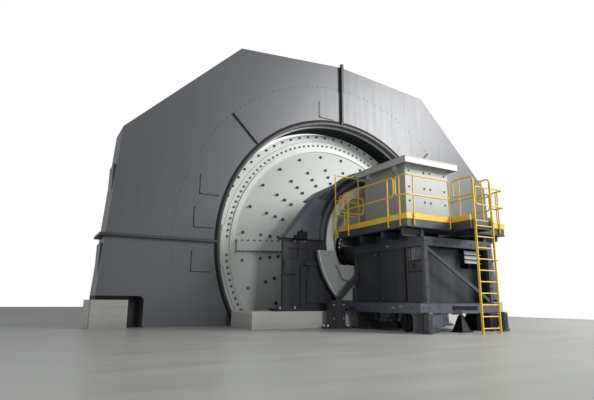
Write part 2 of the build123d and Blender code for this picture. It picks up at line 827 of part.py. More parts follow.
def make_outriggers():
    """Side feet at the mill end of the feeder, each with a tie beam and a slanting brace to the body."""
    y_range = (outrigger_y - outrigger_depth / 2, outrigger_y + outrigger_depth / 2)
    half = outrigger_width / 2
    foot = block((outrigger_x - half, outrigger_x + half), y_range, (0, outrigger_height))
    half_pad = outrigger_pad_width / 2
    foot += block((outrigger_x - half_pad, outrigger_x + half_pad), y_range, (0, 2 * pad_height))
    foot += block((base_half_width, outrigger_x), y_range, (outrigger_height - tie_beam_height, outrigger_height))
    rise = outrigger_height + outrigger_x - body_half_width
    brace = make_face(
        Polyline(
            (outrigger_x, outrigger_height),
            (body_half_width, rise),
            (body_half_width, rise - 2 * outrigger_brace_width),
            (outrigger_x - 2 * outrigger_brace_width, outrigger_height),
            close=True,
        )
    )
    foot += along_y(brace, outrigger_y - outrigger_brace_width / 2, outrigger_brace_width)
    nodes["feeder_outriggers"] = both_sides(foot)


def make_body():
    """The open frame between base and deck, with cabinets at the sides and a set-back front panel."""
    half = body_half_width
    depth = (body_front_y, body_back_y)
    post_x = (half - post_width, half)
    side = block(post_x, (body_front_y, body_front_y + post_depth), (base_top, body_top))
    side += block(post_x, (body_back_y - post_depth, body_back_y), (base_top, body_top))
    side += block(post_x, depth, (beam_low, body_top))
    side += block(post_x, (body_front_y + post_depth, body_back_y), (body_top, channel_bottom))
    frame = side + mirrored_x(side)
    frame += block(across(half), (body_front_y, body_front_y + post_depth), (beam_low, body_top))
    rear_beam_y = (body_back_y - post_depth, body_back_y)
    frame += block(across(half), rear_beam_y, (spout_bottom - top_beam_height, spout_bottom))
    left = -half + post_width
    right = half - post_width
    high_end = [(left, beam_low), (left, beam_low - brace_width)]
    low_end = [(right, base_top), (right, base_top + brace_width)]
    brace = make_face(Polyline(*high_end, *low_end, close=True))
    frame += along_y(brace, body_front_y + post_depth / 4, post_depth / 2)
    nodes["feeder_body_frame"] = frame
    cabinet_end = body_back_y - post_depth
    outer_x = half - cabinet_inset
    inner_x = outer_x - cabinet_depth
    cabinet = block((inner_x, outer_x), (cabinet_front_y, cabinet_end), (base_top, beam_low))
    seam_y = (cabinet_front_y + cabinet_end) / 2
    seam = (seam_y - cabinet_seam / 2, seam_y + cabinet_seam / 2)
    cabinet -= block((outer_x - cabinet_seam, outer_x), seam, (base_top, beam_low))
    nodes["feeder_cabinets"] = both_sides(cabinet)
    panel_y = (body_front_y + post_depth, cabinet_front_y - 2 * pipe_radius)
    panels = block((outer_x - panel_thickness, outer_x), panel_y, (base_top, shelf_bottom))
    panels += block((right, outer_x), panel_y, (shelf_bottom, shelf_bottom + shelf_height))
    sheet_x = outer_x - window_sheet_inset
    panels += block((right, sheet_x), panel_y, (shelf_bottom + shelf_height, beam_low))
    nodes["feeder_side_panels"] = both_sides(panels)
    pipe = Cylinder(pipe_radius, beam_low - base_top)
    pipe = Pos(outer_x - pipe_radius, cabinet_front_y - pipe_radius, (base_top + beam_low) / 2) * pipe
    nodes["feeder_pipes"] = both_sides(pipe)
    y = body_front_y + front_panel_setback
    panel_y = (y, y + panel_thickness)
    panel = block((left, front_panel_edge_x), panel_y, (base_top, beam_low))
    panel += block((front_panel_edge_x, right), panel_y, (base_top, shelf_bottom + shelf_height / 2))
    nodes["feeder_front_panel"] = panel


make_guard()
make_guard_rim()
make_guard_ribs()
make_guard_hatches()
make_concrete()
make_heads()
make_shell()
make_trunnions()
make_bearings()
make_feed_trough()
make_spout()
make_platform()
make_kick_plates()
make_railings()
make_rear_barriers()
make_hopper()
make_ladder()
make_base()
make_outriggers()
make_body()

os.makedirs("parts", exist_ok=True)
for name, solid in nodes.items():
    export_step(solid, f"parts/{name}.step")
print(len(nodes), "nodes")
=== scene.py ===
"""Looks of the ball mill: finishes, bolts, covers, small fittings and the studio round it."""

import json
from itertools import product
from math import atan2, cos, hypot, pi, radians, sin, tau

import bmesh
import bpy
from bpy.props import FloatProperty, FloatVectorProperty, IntProperty, PointerProperty
from mathutils import Matrix, Vector


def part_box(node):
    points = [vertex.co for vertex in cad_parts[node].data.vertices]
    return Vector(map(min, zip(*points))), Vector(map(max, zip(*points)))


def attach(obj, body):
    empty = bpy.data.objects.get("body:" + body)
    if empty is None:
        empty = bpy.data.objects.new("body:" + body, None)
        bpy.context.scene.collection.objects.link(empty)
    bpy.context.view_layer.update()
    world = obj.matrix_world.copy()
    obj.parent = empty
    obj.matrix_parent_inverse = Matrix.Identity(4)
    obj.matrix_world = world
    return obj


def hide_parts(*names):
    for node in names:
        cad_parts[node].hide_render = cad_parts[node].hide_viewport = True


bl_info = {
    "name": "Ball mill",
    "version": (1, 0, 0),
    "blender": (4, 5, 0),
    "location": "View3D > Sidebar > Ball mill",
    "description": "Finishes and details a large grinding mill with its guard and feeder",
    "category": "Object",
}

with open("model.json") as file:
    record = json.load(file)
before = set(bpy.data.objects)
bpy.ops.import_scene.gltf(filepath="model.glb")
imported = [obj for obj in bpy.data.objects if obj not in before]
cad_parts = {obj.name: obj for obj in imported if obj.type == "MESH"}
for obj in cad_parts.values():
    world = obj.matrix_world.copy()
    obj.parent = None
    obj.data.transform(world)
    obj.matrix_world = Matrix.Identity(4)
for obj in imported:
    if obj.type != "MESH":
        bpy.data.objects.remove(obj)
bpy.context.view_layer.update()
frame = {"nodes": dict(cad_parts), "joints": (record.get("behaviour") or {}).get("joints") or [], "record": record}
nodes = frame["nodes"]
axis_z = frame["joints"][0]["pos_m"][2]

# Stations along the mill axis, in metres from the feed plinth's middle
guard_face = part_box("guard_upper_left")[0].y
guard_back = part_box("guard_upper_left")[1].y
flange_depth = 0.11
joint_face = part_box("feed_head_upper")[1].y
head_face = joint_face - flange_depth
mid_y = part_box("feed_shell_upper")[1].y
shell_start = joint_face + flange_depth
ring_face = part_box("feed_trunnion")[0].y
arch_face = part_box("feed_bearing_cap")[0].y

# Boxes of solids that carry fittings, as (low, high) corners
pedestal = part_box("feed_bearing_pedestal")
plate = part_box("bearing_base_plates")
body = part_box("feeder_body_frame")
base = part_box("feeder_base_frame")
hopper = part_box("feed_hopper")
hopper_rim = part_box("feed_hopper_rim")
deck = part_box("platform_deck")
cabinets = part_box("feeder_cabinets")

# The head's cone: how far it comes forward a metre inward, and the radius where it starts
cone_slope = 0.4
cone_radius = 4.17


# Shader maths


class Signal:
    """A node's output that Python arithmetic turns into Math nodes."""

    def __init__(self, finish, socket):
        self.finish = finish
        self.socket = socket

    def maths(self, operation, first, second):
        return self.finish.node("ShaderNodeMath", {"operation": operation}, {0: first, 1: second})

    def __add__(self, other):
        return self.maths("ADD", self, other)

    def __sub__(self, other):
        return self.maths("SUBTRACT", self, other)

    def __rsub__(self, other):
        return self.maths("SUBTRACT", other, self)

    def __mul__(self, other):
        return self.maths("MULTIPLY", self, other)

    def __truediv__(self, other):
        return self.maths("DIVIDE", self, other)

    def __pow__(self, other):
        return self.maths("POWER", self, other)

    __radd__ = __add__
    __rmul__ = __mul__

    def limited(self):
        """The value held between 0 and 1."""
        return self.finish.node("ShaderNodeClamp", {}, {"Value": self})


class Finish:
    """A material or world being made, with one method that adds any node."""

    def __init__(self, owner):
        owner.use_nodes = True
        self.owner = owner
        self.tree = owner.node_tree
        self.tree.nodes.clear()

    @property
    def place(self):
        """Where a point lies on its piece."""
        return self.node("ShaderNodeTexCoord", {}, {}, "Object")

    def node(self, kind, settings, inputs, output=0):
        """Add a node with its settings and inputs, and give back one of its outputs."""
        made = self.tree.nodes.new(kind)
        for name, value in settings.items():
            setattr(made, name, value)
        for name, value in inputs.items():
            if isinstance(value, Signal):
                self.tree.links.new(value.socket, made.inputs[name])
            else:
                made.inputs[name].default_value = value
        return Signal(self, made.outputs[output])

    def noise(self, scale, detail=3.0, stretch=(1.0, 1.0, 1.0)):
        """Cloudy noise between 0 and 1, with scale in cycles a metre."""
        spot = self.node("ShaderNodeMapping", {}, {"Vector": self.place, "Scale": stretch})
        inputs = {"Vector": spot, "Scale": scale, "Detail": detail}
        return self.node("ShaderNodeTexNoise", {}, inputs)

    def height(self):
        """How high a point lies, in metres."""
        return self.node("ShaderNodeSeparateXYZ", {}, {"Vector": self.place}, "Z")

    def mix(self, factor, first, second):
        """One colour going over into another."""
        inputs = {0: factor, 6: first, 7: second}
        return self.node("ShaderNodeMix", {"data_type": "RGBA"}, inputs, 2)

    def bump(self, height, strength, distance):
        """A normal from a height, with distance in metres."""
        inputs = {"Height": height, "Strength": strength, "Distance": distance}
        return self.node("ShaderNodeBump", {}, inputs)

    def surface(self, **sockets):
        """Close the material with a Principled shader."""
        inputs = {
            name.replace("_", " ").title().replace("Ior", "IOR"): value
            for name, value in sockets.items()
        }
        shader = self.node("ShaderNodeBsdfPrincipled", {}, inputs)
        self.close("ShaderNodeOutputMaterial", shader)
        return self.owner

    def close(self, kind, shader):
        """Link a shader to the tree's output."""
        output = self.tree.nodes.new(kind)
        self.tree.links.new(shader.socket, output.inputs["Surface"])


def shade(colour, factor):
    """A colour made lighter or darker, with full alpha."""
    return (*[min(1.0, channel * factor) for channel in colour[:3]], 1.0)


def painted(name, colour, gloss, dirt, sheen):
    """Sprayed machine paint: cloudy tone, faint runs of dust down upright faces and a fine skin."""
    finish = Finish(bpy.data.materials.new(name))
    cloud = finish.noise(0.45, 4.0)
    runs = finish.noise(1.0, 5.0, (5.0, 5.0, 0.35))
    skin = finish.noise(120.0, 2.0)
    specks = (finish.noise(38.0, 2.0) - 0.68).limited() * 3.0
    low = (1.0 - finish.height() / 2.5).limited()
    tone = finish.mix(cloud, shade(colour, 0.86), shade(colour, 1.12))
    dust = ((runs - 0.42).limited() * (0.6 + low) * dirt + specks * dirt * 0.4).limited()
    paint = finish.mix(dust, tone, (0.32, 0.31, 0.28, 1.0))
    rough = gloss + runs * 0.12 + dust * 0.3
    bump = finish.bump(skin * 0.5 + cloud * 0.5, 0.15, 0.002)
    return finish.surface(
        base_color=paint, roughness=rough.limited(), normal=bump, specular_ior_level=sheen
    )


def concrete(name, colour):
    """Cast concrete: blotches, pores, board marks and a darker foot."""
    finish = Finish(bpy.data.materials.new(name))
    blotch = finish.noise(1.6, 6.0)
    grit = finish.noise(60.0, 3.0)
    pores = finish.node("ShaderNodeTexVoronoi", {}, {"Vector": finish.place, "Scale": 22.0})
    holes = (1.0 - pores * 6.0).limited()
    board = {"Vector": finish.place, "Scale": 1.3, "Distortion": 0.6}
    boards = finish.node("ShaderNodeTexWave", {"bands_direction": "Z"}, board)
    foot = (1.0 - finish.height() / 0.35).limited()
    tone = finish.mix(blotch, shade(colour, 0.82), shade(colour, 1.16))
    tone = finish.mix((boards**8.0) * 0.25, tone, shade(colour, 0.7))
    tone = finish.mix((holes * 0.55 + foot * 0.28).limited(), tone, shade(colour, 0.5))
    bump = finish.bump(grit * 0.4 - holes * 0.9, 0.5, 0.004)
    return finish.surface(base_color=tone, roughness=0.86 - blotch * 0.1, normal=bump)


def bare_metal(name, colour, gloss):
    """Plated or oiled steel with fine scratches."""
    finish = Finish(bpy.data.materials.new(name))
    scratches = finish.noise(45.0, 4.0, (1.0, 1.0, 9.0))
    stain = finish.noise(3.0, 4.0)
    tone = finish.mix(stain, shade(colour, 0.75), shade(colour, 1.15))
    bump = finish.bump(scratches, 0.12, 0.001)
    rough = gloss + scratches * 0.2
    return finish.surface(base_color=tone, metallic=1.0, roughness=rough, normal=bump)


def rubber(name, colour):
    """Dull rubber with a faint bloom."""
    finish = Finish(bpy.data.materials.new(name))
    bloom = finish.noise(7.0, 4.0)
    tone = finish.mix(bloom, shade(colour, 0.8), shade(colour, 1.5))
    bump = finish.bump(bloom, 0.2, 0.002)
    return finish.surface(base_color=tone, roughness=0.72 + bloom * 0.15, normal=bump)


def studio_floor(name, colour):
    """Polished pale concrete, with painted shade that makes it darker towards the back left."""
    finish = Finish(bpy.data.materials.new(name))
    blotch = finish.noise(0.35, 6.0)
    drag = finish.noise(0.8, 5.0, (0.5, 2.6, 1.0))
    grit = finish.noise(14.0, 4.0)
    split = {"Vector": finish.place}
    right = finish.node("ShaderNodeSeparateXYZ", {}, split, "X")
    back = finish.node("ShaderNodeSeparateXYZ", {}, split, "Y")
    # painted shade: the floor is darkened towards the back and towards the left
    dark = (0.5 - right / 30.0 + back / 20.0).limited()
    cloud = (blotch * 0.6 + drag * 0.4).limited()
    tone = finish.mix(cloud, shade(colour, 0.8), shade(colour, 1.14))
    tone = finish.mix(dark, tone, shade(colour, 0.4))
    tone = finish.mix((grit - 0.55).limited() * 1.2, tone, shade(colour, 0.62))
    bump = finish.bump(drag * 0.6 + grit * 0.2, 0.12, 0.01)
    return finish.surface(base_color=tone, roughness=(0.2 + drag * 0.3).limited(), normal=bump)


# Mesh making


class Shape:
    """Vertices and faces of one piece, gathered before its object is made."""

    def __init__(self):
        self.corners = []
        self.faces = []

    def add(self, corners, faces, place=Matrix()):
        """Put in corners and the faces between them."""
        first = len(self.corners)
        self.corners += [place @ Vector(corner) for corner in corners]
        self.faces += [[first + index for index in face] for face in faces]

    @staticmethod
    def walls(rows, sides):
        """Faces between rows of corners, with the first and the last row closed."""
        faces = []
        for here in range(0, (rows - 1) * sides, sides):
            for side in range(sides):
                after = (side + 1) % sides
                faces.append([here + side, here + after, here + sides + after, here + sides + side])
        last = (rows - 1) * sides
        return faces + [list(reversed(range(sides))), list(range(last, last + sides))]

    def lathe(self, profile, sides, place, turn=0.0):
        """A form turned about the local Z axis from (radius, height) pairs, closed at both ends."""
        angles = [turn + tau * side / sides for side in range(sides)]
        corners = [
            (radius * cos(angle), radius * sin(angle), height)
            for radius, height in profile
            for angle in angles
        ]
        self.add(corners, self.walls(len(profile), sides), place)

    def slab(self, low, high, edge=0.0, place=Matrix()):
        """A block between two corners, with a cut of the size edge along its edges."""
        low, high = Vector(low), Vector(high)
        if edge:
            edge = min(edge, *[(b - a) * 0.45 for a, b in zip(low, high)])
        block = bmesh.new()
        bmesh.ops.create_cube(block, size=1.0)
        for corner in block.verts:
            spans = zip(low, high, corner.co)
            corner.co = Vector([(a + b) / 2 + c * (b - a) for a, b, c in spans])
        if edge:
            bmesh.ops.bevel(block, geom=block.edges[:], offset=edge, segments=1, affect="EDGES")
        block.verts.index_update()
        corners = [corner.co.copy() for corner in block.verts]
        self.add(corners, [[v.index for v in face.verts] for face in block.faces], place)
        block.free()

    def ring(self, inner, outer, y_low, y_high, start=0.0, end=tau, steps=96):
        """A flat ring or part of one about the mill axis, between two y stations."""
        whole = abs(end - start - tau) < 0.001
        count = steps if whole else steps + 1
        corners = []
        for step in range(count):
            angle = start + (end - start) * step / steps
            for radius, y in ((inner, y_low), (outer, y_low), (outer, y_high), (inner, y_high)):
                corners.append((radius * cos(angle), y, axis_z + radius * sin(angle)))
        faces = []
        for step in range(steps):
            here, there = 4 * step, 4 * ((step + 1) % count)
            for a, b in ((0, 1), (1, 2), (2, 3), (3, 0)):
                faces.append([here + a, here + b, there + b, there + a])
        if not whole:
            faces += [[3, 2, 1, 0], [4 * steps + a for a in range(4)]]
        self.add(corners, faces)

    def prism(self, outline, y_low, y_high):
        """A plate across the mill axis with an outline of (x, z) pairs, z from the axis."""
        count = len(outline)
        corners = [(x, y, axis_z + z) for y in (y_low, y_high) for x, z in outline]
        faces = [list(range(count)), list(reversed(range(count, 2 * count)))]
        for side in range(count):
            after = (side + 1) % count
            faces.append([side, after, count + after, count + side])
        self.add(corners, faces)

    def tube(self, route, radius, sides=10):
        """A round bar, pipe or hose along points."""
        points = [Vector(point) for point in route]
        corners = []
        side = Vector((0.0, 0.0, 1.0))
        for index, point in enumerate(points):
            before = points[max(index - 1, 0)]
            after = points[min(index + 1, len(points) - 1)]
            along = (after - before).normalized()
            if abs(along.dot(side)) > 0.95:
                side = Vector((1.0, 0.0, 0.0))
            side = (side - along * along.dot(side)).normalized()
            other = along.cross(side)
            for step in range(sides):
                angle = tau * step / sides
                corners.append(point + radius * (side * cos(angle) + other * sin(angle)))
        self.add(corners, self.walls(len(points), sides))

    def bolt(self, spot, direction, size, washer=True):
        """A hexagon head with a cut top edge; size is across the head's corners."""
        place = standing(spot, direction)
        half = size / 2
        rise = size * 0.1
        if washer:
            self.lathe([(half * 1.3, -rise), (half * 1.3, rise)], 12, place)
        head = [(half, rise * 0.5), (half, size * 0.5), (half * 0.82, size * 0.6)]
        self.lathe(head, 6, place, pi / 6)

    def bolts(self, xs, ys, zs, direction, size, washer=True):
        """A bolt at every meeting of the given x, y and z values."""
        for spot in product(xs, ys, zs):
            self.bolt(spot, direction, size, washer)

    def stud(self, spot, direction, size):
        """A nut with the end of its stud standing out."""
        self.bolt(spot, direction, size)
        end = [(size * 0.27, size * 0.5), (size * 0.27, size * 0.85), (size * 0.22, size * 0.92)]
        self.lathe(end, 8, standing(spot, direction))

    def flipped_to_discharge(self):
        """The same shape turned half round to the discharge end."""
        twin = Shape()
        twin.add([(-x, 2 * mid_y - y, z) for x, y, z in self.corners], self.faces)
        return twin

    def both_sides(self):
        """Add a mirror image of all so far on the other side of the mill axis."""
        faces = [list(reversed(face)) for face in self.faces]
        self.add([(-x, y, z) for x, y, z in self.corners], faces)
        return self

    def piece(self, name, finish, slot, rides="foundation"):
        """Make the object, with its finish, riding on a body; the slot argument is not used."""
        mesh = bpy.data.meshes.new(name)
        mesh.from_pydata(self.corners, [], self.faces)
        mesh.validate()
        shown = bmesh.new()
        shown.from_mesh(mesh)
        bmesh.ops.recalc_face_normals(shown, faces=shown.faces)
        for edge in shown.edges:
            inner = len(edge.link_faces) == 2
            edge.smooth = inner and edge.calc_face_angle(0.0) < radians(30.0)
        for face in shown.faces:
            face.smooth = True
        shown.to_mesh(mesh)
        shown.free()
        made = bpy.data.objects.new(name, mesh)
        bpy.context.scene.collection.objects.link(made)
        mesh.materials.append(finishes[finish])
        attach(made, rides)
        return made


finishes = {}


def standing(spot, direction):
    """The place of a form whose local Z axis points in a direction."""
    turn = Vector(direction).to_track_quat("Z", "Y").to_matrix().to_4x4()
    return Matrix.Translation(spot) @ turn


def on_circle(radius, angle, y):
    """A point about the mill axis, with its angle measured from +X towards +Z."""
    return Vector((radius * cos(angle), y, axis_z + radius * sin(angle)))


def cone_point(radius, angle):
    """A point on the feed head's cone."""
    return on_circle(radius, angle, head_face - cone_slope * (cone_radius - radius))


front = Vector((0.0, -1.0, 0.0))
up = Vector((0.0, 0.0, 1.0))
left = Vector((-1.0, 0.0, 0.0))
right = Vector((1.0, 0.0, 0.0))


# What a user may change


class MillColours(bpy.types.PropertyGroup):
    """Colours of the finishes."""

    guard: FloatVectorProperty(
        name="Guard", description="Paint of the drive guard", subtype="COLOR",
        default=(0.085, 0.091, 0.102), min=0, max=1,
    )
    pale: FloatVectorProperty(
        name="Drum", description="Paint of the drum ends", subtype="COLOR",
        default=(0.66, 0.695, 0.65), min=0, max=1,
    )
    dark: FloatVectorProperty(
        name="Feeder", description="Paint of bearings and feeder", subtype="COLOR",
        default=(0.028, 0.031, 0.039), min=0, max=1,
    )
    yellow: FloatVectorProperty(
        name="Rails", description="Paint of handrails and ladder", subtype="COLOR",
        default=(0.86, 0.56, 0.03), min=0, max=1,
    )
    hopper: FloatVectorProperty(
        name="Hopper", description="Paint of the hopper", subtype="COLOR",
        default=(0.42, 0.43, 0.41), min=0, max=1,
    )
    concrete: FloatVectorProperty(
        name="Concrete", description="Colour of plinths and blocks", subtype="COLOR",
        default=(0.38, 0.38, 0.35), min=0, max=1,
    )


class MillSizes(bpy.types.PropertyGroup):
    """Sizes of bolts and small fittings."""

    flange_bolt: FloatProperty(
        name="Flange bolt", description="Across the corners of a flange bolt", unit="LENGTH",
        default=0.085, min=0.02,
    )
    liner_bolt: FloatProperty(
        name="Liner bolt", description="Across the corners of a liner bolt", unit="LENGTH",
        default=0.1, min=0.02,
    )
    flange_bolts: IntProperty(
        name="Flange bolts", description="Bolts round the outer circle", default=72, min=8
    )
    head_bolts: IntProperty(
        name="Head bolts", description="Bolts round the inner circle", default=124, min=8
    )
    guard_bolt: FloatProperty(
        name="Guard bolt", description="Across the corners of a guard bolt", unit="LENGTH",
        default=0.034, min=0.01,
    )
    bearing_bolt: FloatProperty(
        name="Bearing bolt", description="Across the corners of a bearing bolt", unit="LENGTH",
        default=0.07, min=0.02,
    )
    plate_bolt: FloatProperty(
        name="Plate bolt", description="Across the corners of a bolt on the feeder", unit="LENGTH",
        default=0.036, min=0.01,
    )
    grating_pitch: FloatProperty(
        name="Grating pitch", description="Between the bars of the deck", unit="LENGTH",
        default=0.05, min=0.02,
    )


class MillStudio(bpy.types.PropertyGroup):
    """Light and floor of the studio."""

    key_power: FloatProperty(
        name="Key light", description="Watts of the light at the front right", default=9900.0, min=0
    )
    side_power: FloatProperty(
        name="Side light", description="Watts of the light at the back left", default=950.0, min=0
    )
    front_power: FloatProperty(
        name="Front light", description="Watts of the narrow light in front", default=42.0, min=0
    )
    fill: FloatProperty(
        name="Fill", description="Strength of the light from all round", default=0.4, min=0
    )
    floor: FloatVectorProperty(
        name="Floor", description="Colour of the floor", subtype="COLOR",
        default=(0.6, 0.605, 0.565), min=0, max=1,
    )


# Pieces


class MILL_OT_finishes(bpy.types.Operator):
    """Give every solid of the frame its finish"""

    bl_idname = "mill.finishes"
    bl_label = "Finish the solids"

    def execute(self, context):
        colours = context.scene.mill_colours
        for key, name, colour, gloss, dirt, sheen in (
            ("guard", "guard slate paint", colours.guard, 0.34, 0.035, 0.65),
            # a darker copy of the guard paint: the joint ribs' colour, and painted shade on the opening's seal
            # band
            ("guard_edge", "guard joint paint", shade(colours.guard, 0.42), 0.4, 0.08, 0.5),
            ("pale", "drum pale paint", colours.pale, 0.34, 0.16, 0.5),
            # a darker copy of the drum paint: painted shade of the groove
            ("pale_shade", "drum groove paint", shade(colours.pale, 0.4), 0.5, 0.2, 0.5),
            # black is the colour of real black fittings, and also of sheets that are painted shadow at the guard's
            # hatches and opening and in the beam's slot
            ("black", "black fitting paint", (0.008, 0.009, 0.011), 0.5, 0.02, 0.15),
            ("beam", "base beam paint", shade(colours.dark, 3.0), 0.3, 0.2, 0.5),
            ("dark", "machine blue black paint", colours.dark, 0.33, 0.16, 0.5),
            ("yellow", "rail yellow paint", colours.yellow, 0.3, 0.05, 0.5),
            ("hopper", "hopper grey paint", colours.hopper, 0.36, 0.14, 0.5),
            ("rim", "hopper rim paint", shade(colours.hopper, 1.3), 0.36, 0.1, 0.5),
            ("frame", "frame grey paint", shade(colours.dark, 2.0), 0.3, 0.12, 0.5),
            # the drum's pale paint at half brightness: painted shade on the trough and spill plate
            ("trough", "trough grey paint", shade(colours.pale, 0.5), 0.4, 0.2, 0.5),
        ):
            finishes[key] = painted(name, colour, gloss, dirt, sheen)
        finishes["concrete"] = concrete("block concrete", colours.concrete)
        finishes["plinth"] = concrete("plinth concrete", shade(colours.concrete, 1.45))
        finishes["grating"] = bare_metal("deck grating steel", (0.3, 0.31, 0.32), 0.42)
        finishes["plated"] = bare_metal("plated bolt steel", (0.62, 0.62, 0.6), 0.3)
        finishes["oiled"] = bare_metal("dark bolt steel", (0.17, 0.175, 0.17), 0.4)
        finishes["hose"] = rubber("hose rubber", (0.02, 0.02, 0.022))
        finishes["red_hose"] = rubber("red hose rubber", (0.16, 0.035, 0.03))
        by_slot = {
            "concrete": "concrete",
            "guard_rim": "black",
            "guard_paint": "guard",
            "pale_paint": "pale",
            "housing_paint": "dark",
            "safety_yellow": "yellow",
            "hopper_paint": "hopper",
            "deck_steel": "grating",
            "feeder_paint": "dark",
        }
        for part in frame["record"]["subparts"]:
            solid = nodes[part["node"]]
            solid.data.materials.clear()
            solid.data.materials.append(finishes[by_slot[part["material_slot"]]])
        for name, finish in (
            ("guard_joint_ribs", "guard_edge"),
            ("feeder_wheels", "black"),
            ("feeder_base_frame", "beam"),
            ("feeder_front_legs", "beam"),
            ("feed_plinth", "plinth"),
            ("discharge_plinth", "plinth"),
            ("feed_hopper_rim", "rim"),
            ("feed_bearing_cap", "beam"),
            ("discharge_bearing_cap", "beam"),
            ("feeder_body_frame", "frame"),
            ("platform_frame", "frame"),
            # trough and spill plate take the half-bright pale paint as painted shade
            ("feed_trough", "trough"),
            ("feed_spill_plate", "trough"),
        ):
            nodes[name].data.materials[0] = finishes[finish]
        return {"FINISHED"}


def put_at_both_ends(part, slot, rides, **shapes):
    """Make pieces at the feed end and their twins at the discharge end."""
    for end in ("feed", "discharge"):
        for name, (shape, finish) in shapes.items():
            made = shape if end == "feed" else shape.flipped_to_discharge()
            made.piece(f"{end}_{part}_{name}", finish, slot, rides)


class MILL_OT_drum_bolts(bpy.types.Operator):
    """Bolts, groove and covers on both ends of the drum"""

    bl_idname = "mill.drum_bolts"
    bl_label = "Bolt the drum ends"

    def execute(self, context):
        sizes = context.scene.mill_sizes
        flange_circle, head_circle = 4.81, 4.44
        liner_circles, liner_rows = (3.9, 3.29, 2.97, 2.69), 24
        bolts = Shape()
        for index in range(sizes.flange_bolts):
            angle = tau * (index + 0.5) / sizes.flange_bolts
            bolts.stud(on_circle(flange_circle, angle, head_face), front, sizes.flange_bolt)
        for index in range(sizes.head_bolts):
            angle = tau * (index + 0.5) / sizes.head_bolts
            if abs(sin(angle)) > 0.035:
                spot = on_circle(head_circle, angle, head_face)
                bolts.bolt(spot, front, sizes.flange_bolt * 0.92)
        for row in range(liner_rows):
            angle = tau * (row + 0.5) / liner_rows
            normal = Vector((cone_slope * cos(angle), -1.0, cone_slope * sin(angle))).normalized()
            for radius in liner_circles:
                bolts.stud(cone_point(radius, angle), normal, sizes.liner_bolt)
        rib_half = 0.17
        for side in (-1, 1):
            for step in range(16):
                reach = 2.62 + 0.1 * step
                y = cone_point(reach, 0.0).y - 0.1
                bolts.stud((side * reach, y, axis_z - rib_half), -up, 0.06)
                if step % 2:
                    bolts.stud((side * reach, y, axis_z + rib_half), up, 0.075)
        # the groove is a flat ring on the flange face, darkened as painted shade
        groove = Shape()
        groove.ring(4.605, 4.625, head_face - 0.001, head_face + 0.01, steps=144)
        covers = Shape()
        for middle in (0.0, pi):
            start, end = middle - 0.16, middle + 0.16
            covers.ring(4.61, 4.7, head_face - 0.06, head_face, start, end, 12)
        mouth = Shape()
        mouth.ring(2.02, 2.06, ring_face - 0.008, ring_face + 0.004)
        put_at_both_ends(
            "head", "pale_paint", "drum",
            bolts=(bolts, "oiled"),
            groove=(groove, "pale_shade"),
            flange_covers=(covers, "pale"),
            step_rings=(mouth, "pale"),
        )
        return {"FINISHED"}


class MILL_OT_shell_bolts(bpy.types.Operator):
    """Liner bolts round the shell, joint bolts at its flanges and straps on its split"""

    bl_idname = "mill.shell_bolts"
    bl_label = "Bolt the shell"

    def execute(self, context):
        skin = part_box("feed_shell_upper")[1].z - axis_z - 0.31
        rows, stations, joint_bolts = 24, 12, 72
        joint_half = 0.11
        first, last = shell_start + 0.35, 2 * mid_y - shell_start - 0.35
        bolts = Shape()
        for row in range(rows):
            angle = tau * (row + 0.5) / rows
            outward = Vector((cos(angle), 0.0, sin(angle)))
            for station in range(stations):
                y = first + (last - first) * station / (stations - 1)
                if abs(y - mid_y) > 0.2:
                    bolts.bolt(on_circle(skin, angle, y), outward, 0.1)
        for index in range(joint_bolts):
            angle = tau * (index + 0.5) / joint_bolts
            for side in (-1, 1):
                spot = on_circle(4.75, angle, mid_y + side * joint_half)
                bolts.bolt(spot, -side * front, 0.085, washer=False)
        bolts.piece("shell_bolts", "oiled", "pale_paint", "drum")
        straps = Shape()
        for low, high in (
            (shell_start, mid_y - joint_half),
            (mid_y + joint_half, 2 * mid_y - shell_start),
        ):
            corner = (skin - 0.05, low + 0.02, axis_z - 0.16)
            straps.slab(corner, (skin + 0.05, high - 0.02, axis_z + 0.16), 0.02)
        straps.both_sides().piece("shell_split_straps", "pale", "pale_paint", "drum")
        return {"FINISHED"}


